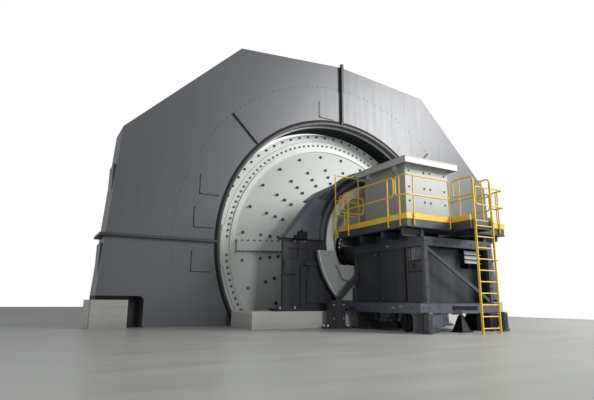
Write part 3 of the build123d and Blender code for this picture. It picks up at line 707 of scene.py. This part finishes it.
class MILL_OT_guard_details(bpy.types.Operator):
    """Bolts, black sheets behind the hatches that show as painted shadow at their edges, side covers of the guard,
    and the rings of its opening
    """

    bl_idname = "mill.guard_details"
    bl_label = "Detail the guard"

    def execute(self, context):
        size = context.scene.mill_sizes.guard_bolt
        circle, circle_bolts = 6.64, 180
        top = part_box("guard_upper_left")[1].z
        through = Vector((0.0, guard_back - guard_face, 0.0))
        bolts = Shape()
        for index in range(circle_bolts):
            spot = on_circle(circle, tau * index / circle_bolts, guard_face)
            if spot.z > 0.1:
                bolts.bolt(spot, front, size, washer=False)
                bolts.bolt(spot + through, -front, size, washer=False)
        cover_face = min(corner.co.y for corner in nodes["guard_hatch_covers"].data.vertices)
        side_hatches = ((5.47, 4.65), (5.625, 3.52), (5.64, 2.07))
        hatch_shadows = Shape()
        for x, z in ((-0.74, 8.335), *side_hatches, *[(-x, z) for x, z in side_hatches]):
            heights = (z - 0.3, z, z + 0.3)
            bolts.bolts((x - 0.31, x + 0.31), (cover_face,), heights, front, size * 0.7, False)
            # a black sheet behind each hatch, reaching out further to the left and below: painted shadow at the
            # hatch's edges
            corner = (x - 0.36, guard_face - 0.006, z - 0.36)
            hatch_shadows.slab(corner, (x + 0.335, guard_face, z + 0.33), 0.002)
        hatch_shadows.piece("guard_hatch_gaskets", "black", "guard_rim")
        offset = 0.075
        along = [side * (5.4 + 0.2 * step) for side in (-1, 1) for step in range(17)]
        above_below = (axis_z - offset, axis_z + offset)
        bolts.bolts(along, (guard_face,), above_below, front, size * 0.8, False)
        upwards = [axis_z + 5.4 + 0.22 * step for step in range(11)]
        upwards = [z for z in upwards if z < top - 0.1]
        bolts.bolts((-offset, offset), (guard_face,), upwards, front, size * 0.8, False)
        bolts.piece("guard_bolts", "guard", "guard_paint")
        rib_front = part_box("guard_joint_ribs")[0].y
        rib_head = Shape()
        rib_head.slab((-0.055, rib_front - 0.02, 9.32), (0.055, guard_face, top + 0.09), 0.006)
        rib_head.piece("guard_rib_head", "guard_edge", "guard_rim")
        self.make_opening()
        walls = Shape()
        for z in (1.9, 4.4):
            x = 8.84 - 0.44 * z / 6.2
            corner = (x - 0.03, guard_face + 0.25, z - 0.6)
            walls.slab(corner, (x + 0.03, guard_back - 0.25, z + 0.6), 0.006)
        walls.both_sides().piece("guard_side_covers", "guard", "guard_paint")
        return {"FINISHED"}

    def make_opening(self):
        """The opening's seal, flush with the guard and in darker guard paint as painted shade, a black band in
        front that is painted shadow of the gap, folds, bead, a black lining that is painted shade inside, and rib
        ends.
        """
        seal_inner, seal_outer = 5.06, 5.135
        flush = guard_face - 0.006
        rim_back = guard_face + 0.32
        seal = (seal_inner, seal_outer)
        # the seal band takes the darker guard paint as painted shade on the rim's face
        sealed = self.band("guard_opening_seal", "guard_edge", "guard_rim", flush, rim_back, seal)
        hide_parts("guard_opening_rim")
        # a black band on the guard's face round the opening: painted shadow of the gap beside the drum's flange
        cover_face, shadow_band = guard_face - 0.012, (seal_outer, seal_outer + 0.1)
        self.band("guard_opening_cover", "black", "guard_paint", cover_face, guard_face, shadow_band)
        folds = [(radius - 0.004, radius + 0.004) for radius in (5.085, 5.11)]
        self.band("guard_seal_folds", "guard_edge", "guard_rim", flush - 0.004, flush, *folds)
        low, high, bead = guard_face + 0.22, guard_face + 0.3, (5.0, seal_inner + 0.005)
        self.band("guard_opening_bead", "hopper", "guard_paint", low, high, bead)
        # the opening's inner wall in black: painted shade deep inside the guard
        lining_back = guard_back - 0.02
        self.band("guard_opening_lining", "black", "guard_rim", rim_back, lining_back, seal)
        ends = Shape()
        for turn in (0.0, pi, pi / 2):
            place = Matrix.Translation(on_circle(5.19, turn, guard_face))
            place @= Matrix.Rotation(-turn, 4, "Y")
            ends.slab((-0.055, -0.06, -0.04), (0.05, 0.0, 0.04), 0.004, place)
        ends.piece("guard_rib_ends", "guard_edge", "guard_rim")

    def band(self, name, finish, slot, y_low, y_high, *radii):
        """A piece of rings round the opening, each from its inner and outer radius."""
        foot = -0.5617  # the angle at which the opening meets the floor
        rings = Shape()
        for inner, outer in radii:
            rings.ring(inner, outer, y_low, y_high, foot, pi - foot, 144)
        return rings.piece(name, finish, slot)


class MILL_OT_bearing_details(bpy.types.Operator):
    """Bolts, covers, studs, the gauge box and oil pipes on both trunnion bearings"""

    bl_idname = "mill.bearing_details"
    bl_label = "Detail the bearings"

    def execute(self, context):
        size = context.scene.mill_sizes.bearing_bolt
        face = pedestal[0].y
        bolts, studs, anchors, covers, pipes = (Shape() for shape in range(5))
        for step in range(9):
            bolts.bolt((2.35 + 0.16 * step, face, axis_z - 0.035), front, size * 0.5, washer=False)
        for step in range(4):
            studs.stud((2.92 + 0.115 * step, face, axis_z - 0.07), front, 0.045)
        anchor_y = plate[0].y + 0.06
        for y, places in ((anchor_y, (0.75, 2.04, 3.29, 3.8)), (-anchor_y, (0.75, 2.04, 3.0))):
            for x in places:
                anchors.stud((x, y, plate[1].z), up, size)
        covers.slab((3.25, face - 0.05, 1.62), (3.68, face, 2.09), 0.012)
        covers.slab((2.44, face - 0.07, 1.91), (2.93, face, 2.06), 0.012)
        covers.slab((2.15, face - 0.03, 0.73), (2.84, face, 1.5), 0.008)
        bolts.bolts((3.31, 3.62), (face - 0.05,), (1.68, 2.03), front, 0.03, False)
        for x, z in ((2.78, 0.79), (2.78, 1.44), (2.22, 0.79)):
            bolts.bolt((x, face - 0.03, z), front, 0.03, washer=False)
        rise = [(3.06, face - 0.04, z) for z in (0.6, 1.1, 1.6, 1.85)]
        pipes.tube(rise, 0.018)
        pipes.tube([rise[-1], (3.0, face - 0.05, 1.95), (2.94, face - 0.05, 1.97)], 0.018)
        for shape in (bolts, studs, anchors, covers, pipes):
            shape.both_sides()
        gauge = Shape()
        gauge.slab((-3.25, face - 0.2, 2.71), (-2.92, face, 2.97), 0.02)
        gauge.slab((-3.39, face - 0.17, 2.7), (-3.25, face, 2.84), 0.015)
        gauge.lathe([(0.05, 0.0), (0.05, 0.05)], 16, Matrix.Translation((-3.1, face - 0.12, 2.97)))
        wire = [(-3.2, face - 0.1, 2.7), (-3.22, face - 0.11, 2.4), (-3.2, face - 0.08, 2.1)]
        gauge.tube(wire, 0.014)
        clamps = Shape()
        clamp_radius, clamp_count = 2.5, 84
        for index in range(clamp_count):
            angle = radians(20 + 140 * index / (clamp_count - 1))
            place = Matrix.Translation(on_circle(clamp_radius, angle, face))
            place @= Matrix.Rotation(-angle, 4, "Y")
            clamps.slab((-0.1, -0.155, -0.014), (0.03, -0.12, 0.014), 0.0, place)
        shoulders, bevel = self.cap_edges(face)
        seal = Shape()
        seal.ring(2.2, 2.28, arch_face - 0.02, arch_face, 0.0, pi, 72)
        seal.ring(2.4, 2.46, arch_face - 0.012, arch_face, 0.0, pi, 72)
        put_at_both_ends(
            "bearing", "housing_paint", "foundation",
            bolts=(bolts, "dark"),
            studs=(studs, "plated"),
            anchors=(anchors, "plated"),
            covers=(covers, "dark"),
            gauge_box=(gauge, "black"),
            oil_pipes=(pipes, "dark"),
            arch_clamps=(clamps, "black"),
            cap_shoulders=(shoulders, "dark"),
            cap_bevel=(bevel, "guard"),
            seal_rings=(seal, "dark"),
        )
        return {"FINISHED"}

    def cap_edges(self, face):
        """The cap's cast shoulders, and the sloping edge from its flanks to the arch's face."""
        shoulder = [(-2.72, 1.34), (-2.5, 1.52), (-2.32, 1.66), (-2.12, 1.77), (-1.89, 1.88)]
        shoulder += [(-1.6, 2.04)]
        shoulders = Shape()
        inside = [(-1.62, 1.9), (-1.95, 1.5), (-2.2, 1.25)]
        shoulders.prism(shoulder + inside, face + 0.002, face + 0.5)
        arch = [radians(126 - 4 * step) for step in range(10)]
        flank = [(-3.78, 0.02), (-3.4, 0.49), (-3.05, 0.93), *shoulder]
        flank += [(2.64 * cos(angle), 2.64 * sin(angle)) for angle in arch]
        bevel = Shape()
        for start, end in zip(flank, flank[1:]):
            inner = []
            for x, z in (end, start):
                reach = hypot(x, z)
                shrink = 1 - (0.13 if reach > 2.7 else 0.09) / reach
                inner.append((x * shrink, arch_face - 0.004, axis_z + z * shrink))
            corners = [(x, face, axis_z + z) for x, z in (start, end)] + inner
            corners += [(x, face + 0.01, z) for x, y, z in inner]
            bevel.add(corners, [[0, 1, 2, 3], [3, 2, 4, 5], [0, 5, 4, 1], [0, 3, 5], [1, 4, 2]])
        return shoulders.both_sides(), bevel.both_sides()


class MILL_OT_spout_details(bpy.types.Operator):
    """Flange bolts and seals of the spout, the trough's edge bead and the spill plate's bolts"""

    bl_idname = "mill.spout_details"
    bl_label = "Detail the spout"

    def execute(self, context):
        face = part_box("feed_spout")[1].y - 0.04
        flange_bolts = 28
        bolts = Shape()
        for index in range(flange_bolts):
            bolts.bolt(on_circle(0.69, tau * index / flange_bolts, face), front, 0.06)
        bolts.piece("spout_flange_bolts", "plated", "feeder_paint")
        seals = Shape()
        seals.ring(0.72, 0.765, face - 0.03, face + 0.03)
        seals.ring(0.6, 0.635, face - 0.02, face + 0.01)
        seals.piece("spout_seals", "black", "feeder_paint")
        trough_low, trough_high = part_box("feed_trough")
        start = pi - atan2(trough_high.z - axis_z, 2.5)
        edge = Shape()
        edge.ring(2.57, 2.6, trough_low.y - 0.01, trough_low.y, start, 3 * pi - start, 72)
        edge.piece("trough_edge_bead", "pale", "pale_paint")
        spill_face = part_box("feed_spill_plate")[0].y
        lips = Shape()
        for degrees in (207, 214, 221):
            spot = on_circle(1.95, radians(degrees), spill_face)
            lips.bolt(spot, front, 0.03, washer=False)
        lips.both_sides().piece("spill_plate_bolts", "pale", "pale_paint")
        return {"FINISHED"}


class MILL_OT_hopper_details(bpy.types.Operator):
    """Liner bolts, foot flange, rim brackets and lip of the hopper"""

    bl_idname = "mill.hopper_details"
    bl_label = "Detail the hopper"

    def execute(self, context):
        low, high = hopper
        rows, size = (4.74, 4.235, 3.8), 0.055
        bolts = Shape()
        for y, outward in ((low.y, front), (high.y, -front)):
            bolts.bolts((-0.74, -0.125, 0.125, 0.74), (y,), rows, outward, size)
        bolts.piece("hopper_liner_bolts", "oiled", "hopper_paint")
        side_bolts = Shape()
        for x, outward in ((low.x, left), (high.x, right)):
            side_bolts.bolts((x,), (-2.65, -2.04, -1.45), rows, outward, size)
        side_bolts.piece("hopper_side_bolts", "hopper", "hopper_paint")
        seams = Shape()
        half, foot, top = 0.03, deck[1].z, deck[1].z + 0.05
        for x in (low.x, high.x):
            seams.slab((x - half, low.y - half, foot), (x + half, high.y + half, top), 0.006)
        for y in (low.y, high.y):
            seams.slab((low.x - half, y - half, foot), (high.x + half, y + half, top), 0.006)
        seams.piece("hopper_foot_flange", "hopper", "hopper_paint")
        rim_low, rim_high = hopper_rim
        brackets = Shape()
        for y in (low.y + 0.33, high.y - 0.35):
            for x, under, over in ((1.07, 0.36, 0.19), (0.98, 0.46, 0.36)):
                corner = (0.9, y - 0.03, rim_high.z - under)
                brackets.slab(corner, (x, y + 0.05, rim_high.z - over), 0.004)
        brackets.both_sides().piece("hopper_rim_brackets", "hopper", "hopper_paint")
        out, wide = 0.006, 0.02
        x0, y0, x1, y1 = rim_low.x - out, rim_low.y - out, rim_high.x + out, rim_high.y + out
        near, far = rim_low.y + wide, rim_high.y - wide
        lip = Shape()
        for a, b in (
            ((x0, y0), (x1, near)),
            ((x0, far), (x1, y1)),
            ((x0, near), (rim_low.x + wide, far)),
            ((rim_high.x - wide, near), (x1, far)),
        ):
            lip.slab((*a, rim_high.z - 0.03), (*b, rim_high.z + 0.004), 0.003)
        lip.piece("hopper_rim_lip", "hopper", "hopper_paint")
        return {"FINISHED"}


class MILL_OT_platform_details(bpy.types.Operator):
    """Deck grating, rail post clips, the flanges of the deck's channel and the ladder's fixings"""

    bl_idname = "mill.platform_details"
    bl_label = "Detail the platform"

    def execute(self, context):
        sizes = context.scene.mill_sizes
        landing_back = -4.31
        self.make_grating(sizes.grating_pitch, landing_back)
        clips = Shape()
        bolts = Shape()
        heights = (2.83, 2.95)
        for y in (-3.59, -1.7, -4.08):
            for z in heights:
                clips.slab((1.95, y - 0.024, z - 0.012), (2.0, y + 0.024, z + 0.012), 0.003)
                bolts.bolt((2.0, y, z), right, sizes.plate_bolt * 0.6, washer=False)
        clips.both_sides()
        bolts.both_sides()
        clip_face = landing_back - 0.05
        for x in (-1.72, -0.375, 1.72):
            for z in heights:
                corner = (x - 0.024, clip_face, z - 0.012)
                clips.slab(corner, (x + 0.024, landing_back, z + 0.012), 0.003)
                bolts.bolt((x, clip_face, z), front, sizes.plate_bolt * 0.6, washer=False)
        clips.piece("rail_post_clips", "yellow", "safety_yellow")
        bolts.piece("rail_post_bolts", "oiled", "safety_yellow")
        channel = Shape()
        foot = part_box("platform_frame")[0].z
        channel.slab((1.95, landing_back, foot), (1.975, -1.3, foot + 0.02), 0.003)
        channel.both_sides()
        for x0, x1 in ((-1.95, -0.34), (0.64, 1.95)):
            corner = (x0, landing_back - 0.025, foot)
            channel.slab(corner, (x1, landing_back, foot + 0.02), 0.003)
        channel.piece("deck_channel_flanges", "dark", "feeder_paint")
        hooks = Shape()
        y = deck[0].y
        for x in (-0.18, 0.51):
            hooks.bolts((x,), (y - 0.07,), (2.95, 2.9), front, 0.03, False)
            hooks.slab((x - 0.045, y - 0.075, 0.0), (x + 0.045, y + 0.005, 0.012), 0.003)
        hooks.piece("ladder_fixings", "yellow", "safety_yellow")
        return {"FINISHED"}

    def make_grating(self, pitch, landing_back):
        """Bars and cross rods on the deck and the landing, left out round the hopper."""
        low, high = deck
        top = high.z
        landing = (-0.32, 0.62)
        hole_low = hopper[0] - Vector((0.04, 0.04, 0.0))
        hole_high = hopper[1] + Vector((0.04, 0.04, 0.0))
        bars = Shape()
        for index in range(1, int((high.x - low.x) / pitch)):
            x = low.x + index * pitch
            start = low.y if landing[0] < x < landing[1] else landing_back
            spans = [(start + 0.02, high.y - 0.02)]
            if hole_low.x < x < hole_high.x:
                spans = [(start + 0.02, hole_low.y - 0.01), (hole_high.y + 0.01, high.y - 0.02)]
            for y0, y1 in spans:
                bars.slab((x - 0.003, y0, top), (x + 0.003, y1, top + 0.006))
        for index in range(1, int((high.y - low.y) / (2 * pitch))):
            y = low.y + 2 * index * pitch
            spans = [(low.x, high.x)]
            if y < landing_back:
                spans = [landing]
            elif hole_low.y < y < hole_high.y:
                spans = [(low.x, hole_low.x - 0.01), (hole_high.x + 0.01, high.x)]
            for x0, x1 in spans:
                bars.slab((x0 + 0.01, y - 0.003, top + 0.001), (x1 - 0.01, y + 0.003, top + 0.005))
        bars.piece("deck_grating_bars", "grating", "deck_steel")


class MILL_OT_feeder_details(bpy.types.Operator):
    """Doors, bolts, cables, window sheets, shelves and deck brackets of the feeder's body"""

    bl_idname = "mill.feeder_details"
    bl_label = "Detail the feeder"

    def execute(self, context):
        self.make_doors_and_bolts(context.scene.mill_sizes.plate_bolt)
        self.make_windows()
        cables = Shape()
        run = [(1.335, -3.45, 2.28), (1.335, -3.45, 0.9), (1.335, -3.44, 0.8), (1.365, -3.4, 0.7)]
        cables.tube(run, 0.014)
        cables.both_sides().piece("feeder_cables", "hose", "feeder_paint")
        red = Shape()
        red.tube([(1.335, -3.38, 1.87), (1.355, -3.38, 1.78), (1.335, -3.39, 1.6)], 0.012)
        red.both_sides().piece("feeder_red_hoses", "red_hose", "feeder_paint")
        flanges = Shape()
        for z in (0.79, 1.55, 2.26):
            place = Matrix.Translation((1.21, -3.52, z))
            flanges.lathe([(0.1, 0.0), (0.1, 0.03)], 24, place)
        flanges.both_sides().piece("feeder_pipe_flanges", "dark", "feeder_paint")
        brackets = Shape()
        for y in (-4.05, -3.2, -2.2, -1.3):
            for x0, x1, web_x0, web_x1 in ((-1.9, -1.33, -1.9, -1.33), (1.33, 1.9, 1.33, 1.7)):
                brackets.slab((x0, y - 0.05, 2.62), (x1, y + 0.05, 2.764), 0.006)
                brackets.slab((web_x0, y - 0.008, 2.55), (web_x1, y + 0.008, 2.62), 0.002)
        brackets.piece("deck_brackets", "dark", "feeder_paint")
        foot_plates = Shape()
        face = body[0].y
        foot_plates.slab((1.0, face + 0.02, 0.78), (1.2, face + 0.09, 0.8), 0.002)
        foot_plates.both_sides().piece("brace_foot_plates", "dark", "feeder_paint")
        return {"FINISHED"}

    def make_doors_and_bolts(self, size):
        """Two doors a side, and the bolts of the doors, the posts and the top beams."""
        low, high = cabinets
        side, seam = high.x, (low.y + high.y) / 2
        doors = Shape()
        for a, b in ((low.y + 0.03, seam - 0.02), (seam + 0.02, high.y - 0.03)):
            doors.slab((side, a, 0.82), (side + 0.012, b, 2.27), 0.004)
        doors.both_sides().piece("cabinet_doors", "dark", "feeder_paint")
        bolts = Shape()
        plated = Shape()
        door_face, post_face, face = (side + 0.012,), (body[1].x,), (body[0].y,)
        hinges, posts = (low.y + 0.09, high.y - 0.09), (face[0] + 0.055, body[1].y - 0.055)
        latches, beam_bolts = (seam - 0.16, seam + 0.16), (-3.9, -3.2, -2.74, -2.2, -1.6)
        plated.bolts(door_face, latches, (0.9, 2.2), right, size * 0.8, False)
        bolts.bolts(door_face, hinges, (0.9, 1.55, 2.2), right, size * 0.8, False)
        bolts.bolts(post_face, posts, (0.86, 2.2, 2.44), right, size, False)
        bolts.bolts((1.29, 1.23), face, (0.86, 1.2, 1.9, 2.44), front, size * 0.8, False)
        bolts.bolts(post_face, beam_bolts, (2.42,), right, size, False)
        bolts.both_sides().bolts((-0.9, -0.5, 0.0, 0.5, 0.9), face, (2.42,), front, size, False)
        plated.both_sides().bolt((-body[1].x, -2.74, 2.41), left, 0.06)
        bolts.piece("feeder_bolts", "dark", "feeder_paint")
        plated.piece("feeder_plated_bolts", "plated", "feeder_paint")

    def make_windows(self):
        """Ridged sheets in the side windows, shelves in the front opening and its blind side."""
        sheets = Shape()
        for step in range(9):
            y = -4.12 + 0.055 * step
            sheets.tube([(1.232, y, 1.94), (1.232, y, 2.3)], 0.012, 8)
        sheets.both_sides().piece("window_sheet_ridges", "concrete", "feeder_paint")
        face = body[0].y
        shelves = Shape()
        for low_z, high_z in ((1.9, 2.0), (2.02, 2.13), (2.15, 2.26)):
            shelves.slab((0.4, face + 0.16, low_z), (1.02, face + 0.19, high_z), 0.004)
            shelves.slab((0.4, face + 0.1, low_z), (1.02, face + 0.19, low_z + 0.012), 0.002)
        shelves.piece("opening_shelves", "hopper", "feeder_paint")
        low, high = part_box("feeder_front_panel")
        blind = Shape()
        blind.slab((0.19, low.y + 0.002, 1.7), (0.4, high.y - 0.002, high.z), 0.002)
        blind.piece("opening_side_plate", "dark", "feeder_paint")
        edges = Shape()
        edges.slab((1.3, -4.14, 1.6), (1.318, -3.61, 1.64), 0.003)
        edges.slab((1.3, -4.14, 1.89), (1.318, -3.61, 1.93), 0.003)
        edges.slab((1.3, -3.86, 1.7), (1.318, -3.76, 1.84), 0.004)
        edges.both_sides().piece("feeder_shelf_edges", "hose", "feeder_paint")


class MILL_OT_base_details(bpy.types.Operator):
    """Slot, bolts, foot plates, swivels, jack stand and hoses on the feeder's base"""

    bl_idname = "mill.base_details"
    bl_label = "Detail the base"

    def execute(self, context):
        self.make_beam_and_feet(context.scene.mill_sizes.plate_bolt)
        self.make_jack()
        low_run = [(-3.2, 0.66), (-3.1, 0.5), (-2.9, 0.3), (-2.7, 0.24), (-2.4, 0.3), (-2.2, 0.52)]
        high_run = [(-2.1, 0.6), (-1.95, 0.42), (-1.7, 0.22), (-1.5, 0.34), (-1.35, 0.56)]
        hoses = Shape()
        for x, shift in ((-1.5, 0.0), (-1.44, 0.09)):
            for run, radius in ((low_run, 0.02), (high_run, 0.018)):
                hoses.tube([(x, y - shift, z + shift) for y, z in run], radius)
        hoses.piece("base_hoses", "hose", "feeder_paint")
        valves = Shape()
        for y in (-3.15, -2.35, -2.2, -2.05):
            valves.slab((-1.6, y - 0.05, 0.26), (-1.4, y + 0.05, 0.5), 0.012)
        valves.slab((-1.5, -3.2, 0.08), (-1.2, -2.1, 0.26), 0.02)
        valves.piece("base_valve_blocks", "black", "feeder_paint")
        low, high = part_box("feeder_outriggers")
        outriggers = Shape()
        for x, y in product((1.83, 2.57), (low.y + 0.05, high.y - 0.05)):
            outriggers.stud((x, y, 0.07), up, 0.06)
        outriggers.bolts((2.02, 2.38), (low.y,), (0.3, 0.7), front, 0.045)
        outriggers.both_sides().piece("outrigger_bolts", "plated", "feeder_paint")
        return {"FINISHED"}

    def make_beam_and_feet(self, size):
        """The front beam's slot and edges, and the bolts, plates and swivels of the feet."""
        low, high = base
        face = low.y
        # the slot is a flat black sheet on the beam's face: painted shade of the slot
        slot = Shape()
        slot.slab((-0.4, face - 0.004, 0.585), (0.6, face, 0.7), 0.001)
        slot.piece("base_beam_slot", "black", "feeder_paint")
        edges = Shape()
        edges.slab((low.x, face - 0.012, 0.77), (high.x, face + 0.2, 0.785), 0.003)
        edges.slab((low.x, face - 0.012, 0.5), (-0.42, face, 0.52), 0.003)
        edges.slab((0.62, face - 0.012, 0.5), (high.x, face, 0.52), 0.003)
        edges.slab((-0.34, face - 0.01, 0.47), (-0.03, face + 0.1, 0.6), 0.004)
        edges.piece("base_beam_edges", "dark", "feeder_paint")
        bolts = Shape()
        bolts.bolts((0.9, 1.25, 1.45), (face,), (0.66,), front, size, False)
        bolts.bolts((high.x,), (-3.9, -2.6, -1.9, -1.4), (0.64,), right, size * 1.3)
        bolts.both_sides()
        stubs = Shape()
        stub = [(0.034, -0.01), (0.034, 0.03), (0.022, 0.04), (0.022, 0.09)]
        for y, z in ((-3.54, 0.67), (-3.25, 0.64)):
            place = Matrix.Translation((high.x, y, z)) @ Matrix.Rotation(pi / 2, 4, "Y")
            stubs.lathe(stub, 12, place)
        feet = Shape()
        for x in (0.0, 2.52):
            toes = (x - 1.37, x - 1.15, x - 0.98)
            bolts.bolts(toes, (face - 0.045,), (0.035,), up, size)
            bolts.bolts((x - 1.04, x - 0.85), (face,), (0.2, 0.4), front, size * 0.7, False)
            feet.slab((x - 1.43, face - 0.015, 0.04), (x - 1.25, face + 0.3, 0.5), 0.01)
            feet.slab((x - 1.23, face - 0.06, 0.035), (x - 0.9, face + 0.1, 0.1), 0.02)
        for x0, x1 in ((-1.62, -1.06), (1.06, 1.62)):
            feet.slab((x0, -2.06, 0.0), (x1, -1.28, 0.05), 0.01)
        bolts.piece("base_bolts", "oiled", "feeder_paint")
        stubs.both_sides().piece("base_pipe_stubs", "plated", "feeder_paint")
        feet.piece("base_foot_plates", "dark", "feeder_paint")
        swivels = Shape()
        swivel = [(0.16, 0.02), (0.16, 0.06), (0.125, 0.09), (0.125, 0.5), (0.1, 0.54)]
        for x in (-1.465, 1.465):
            swivels.lathe(swivel, 24, Matrix.Translation((x, -4.4, 0.0)))
        swivels.piece("foot_swivels", "dark", "feeder_paint")

    def make_jack(self):
        """The jack stand under the front beam: pad, tapered frame, edge bars and cap."""
        centre = Matrix.Translation((0.0, -4.17, 0.0))
        jack = Shape()
        jack.slab((-0.25, -0.2, 0.0), (0.25, 0.2, 0.03), 0.004, centre)
        jack.lathe([(0.24, 0.03), (0.225, 0.05), (0.06, 0.43)], 4, centre, pi / 4)
        jack.lathe([(0.055, 0.42), (0.055, 0.45), (0.035, 0.47), (0.035, 0.5)], 16, centre)
        edge = [Vector((0.165, 0.165, 0.03)), Vector((0.045, 0.045, 0.44))]
        for turn in range(4):
            place = centre @ Matrix.Rotation(turn * pi / 2, 4, "Z")
            jack.tube([place @ spot for spot in edge], 0.012, 8)
        stand = jack.piece("jack_stand_frame", "black", "feeder_paint")
        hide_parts("feeder_jack_stand")


class MILL_OT_stage(bpy.types.Operator):
    """Floor with the mill's pit, soft lights, white surroundings and the camera"""

    bl_idname = "mill.stage"
    bl_label = "Set the stage"

    def execute(self, context):
        studio = context.scene.mill_studio
        self.make_floor(studio)
        self.make_lights(studio)
        self.make_world(studio)
        self.make_camera(context.scene)
        return {"FINISHED"}

    def make_floor(self, studio):
        """A level floor of eight fields, with a pit in the middle for the turning drum."""
        finish = studio_floor("studio floor", studio.floor)
        half_pit, plinth_gap, pit_radius = 4.3, 0.82, 5.3
        xs = [-60.0, -half_pit, half_pit, 14.0]
        ys = [-40.0, plinth_gap, 2 * mid_y - plinth_gap, 47.5]
        corners = [(x, y, 0.0) for y in ys for x in xs]
        faces = [[a, a + 1, a + 5, a + 4] for a in (0, 1, 2, 4, 6, 8, 9, 10)]
        depth = axis_z - pit_radius
        pit = [(xs[1], ys[1]), (xs[2], ys[1]), (xs[2], ys[2]), (xs[1], ys[2])]
        first = len(corners)
        corners += [(x, y, depth) for x, y in pit]
        rim = [5, 6, 10, 9]
        for side in range(4):
            after = (side + 1) % 4
            faces.append([rim[after], rim[side], first + side, first + after])
        faces.append([first, first + 1, first + 2, first + 3])
        mesh = bpy.data.meshes.new("studio_floor")
        mesh.from_pydata(corners, [], faces)
        floor = bpy.data.objects.new("studio_floor", mesh)
        bpy.context.scene.collection.objects.link(floor)
        mesh.materials.append(finish)

    def make_lights(self, studio):
        """The key light, a light on the guard's left wall and a narrow one on the feeder's base."""
        self.add_lamp("key light", (19.0, -20.0, 17.0), (1.0, 0.0, 4.0), 11.0, studio.key_power)
        self.add_lamp("side light", (-24.0, 12.0, 5.0), (-8.6, 2.0, 3.0), 6.0, studio.side_power)
        narrow = self.add_lamp(
            "front light", (-6.0, -25.0, 5.0), (-2.4, -0.6, 0.4), 3.0, studio.front_power
        )
        narrow.spread = 0.52

    def add_lamp(self, name, spot, aim, size, power):
        """A square area light at a spot, turned to its aim."""
        lamp = bpy.data.lights.new(name, "AREA")
        lamp.size = size
        lamp.energy = power
        made = bpy.data.objects.new(name, lamp)
        made.location = spot
        made.rotation_euler = (Vector(aim) - Vector(spot)).to_track_quat("-Z", "Y").to_euler()
        bpy.context.scene.collection.objects.link(made)
        return lamp

    def make_world(self, studio):
        """Soft light from all round, seen as plain white."""
        world = Finish(bpy.data.worlds.new("studio"))
        seen = world.node("ShaderNodeLightPath", {}, {}, "Is Camera Ray")
        through = world.node("ShaderNodeLightPath", {}, {}, "Is Transmission Ray")
        soft = {"Color": (0.94, 0.97, 1.0, 1.0), "Strength": studio.fill}
        fill = world.node("ShaderNodeBackground", {}, soft)
        plain = {"Color": (1.0, 1.0, 1.0, 1.0), "Strength": 1.0}
        white = world.node("ShaderNodeBackground", {}, plain)
        light = world.node("ShaderNodeMixShader", {}, {0: seen + through, 1: fill, 2: white})
        world.close("ShaderNodeOutputWorld", light)
        bpy.context.scene.world = world.owner

    def make_camera(self, scene):
        """The camera fitted to the photo, with its focal length in pixels of the photo's width."""
        focal_pixels, photo_width = 472.53, 594
        lens = bpy.data.cameras.new("camera")
        lens.sensor_width = 36.0
        lens.lens = lens.sensor_width * focal_pixels / photo_width
        lens.clip_end = 500.0
        camera = bpy.data.objects.new("camera", lens)
        camera.location = (-10.572, -13.626, 0.81)
        camera.rotation_euler = (pi / 2 + 0.21048, -0.00611, -0.51595)
        scene.collection.objects.link(camera)
        scene.camera = camera
        scene.view_settings.view_transform = "Standard"


class MILL_PT_panel(bpy.types.Panel):
    """Makes the ball mill step by step"""

    bl_idname = "MILL_PT_panel"
    bl_label = "Ball mill"
    bl_space_type = "VIEW_3D"
    bl_region_type = "UI"
    bl_category = "Ball mill"

    def draw(self, context):
        layout = self.layout
        for operator in operators:
            layout.operator(operator.bl_idname)
        for group in ("mill_colours", "mill_sizes", "mill_studio"):
            values = getattr(context.scene, group)
            box = layout.box()
            for name in values.__annotations__:
                box.prop(values, name)


operators = (
    MILL_OT_finishes,
    MILL_OT_drum_bolts,
    MILL_OT_shell_bolts,
    MILL_OT_guard_details,
    MILL_OT_bearing_details,
    MILL_OT_spout_details,
    MILL_OT_hopper_details,
    MILL_OT_platform_details,
    MILL_OT_feeder_details,
    MILL_OT_base_details,
    MILL_OT_stage,
)
classes = (MillColours, MillSizes, MillStudio, *operators, MILL_PT_panel)


def register():
    for cls in classes:
        bpy.utils.register_class(cls)
    bpy.types.Scene.mill_colours = PointerProperty(type=MillColours)
    bpy.types.Scene.mill_sizes = PointerProperty(type=MillSizes)
    bpy.types.Scene.mill_studio = PointerProperty(type=MillStudio)


def unregister():
    del bpy.types.Scene.mill_colours
    del bpy.types.Scene.mill_sizes
    del bpy.types.Scene.mill_studio
    for cls in reversed(classes):
        bpy.utils.unregister_class(cls)


def main():
    register()
    bpy.ops.mill.finishes()
    bpy.ops.mill.drum_bolts()
    bpy.ops.mill.shell_bolts()
    bpy.ops.mill.guard_details()
    bpy.ops.mill.bearing_details()
    bpy.ops.mill.spout_details()
    bpy.ops.mill.hopper_details()
    bpy.ops.mill.platform_details()
    bpy.ops.mill.feeder_details()
    bpy.ops.mill.base_details()
    bpy.ops.mill.stage()


if __name__ == "__main__":
    main()
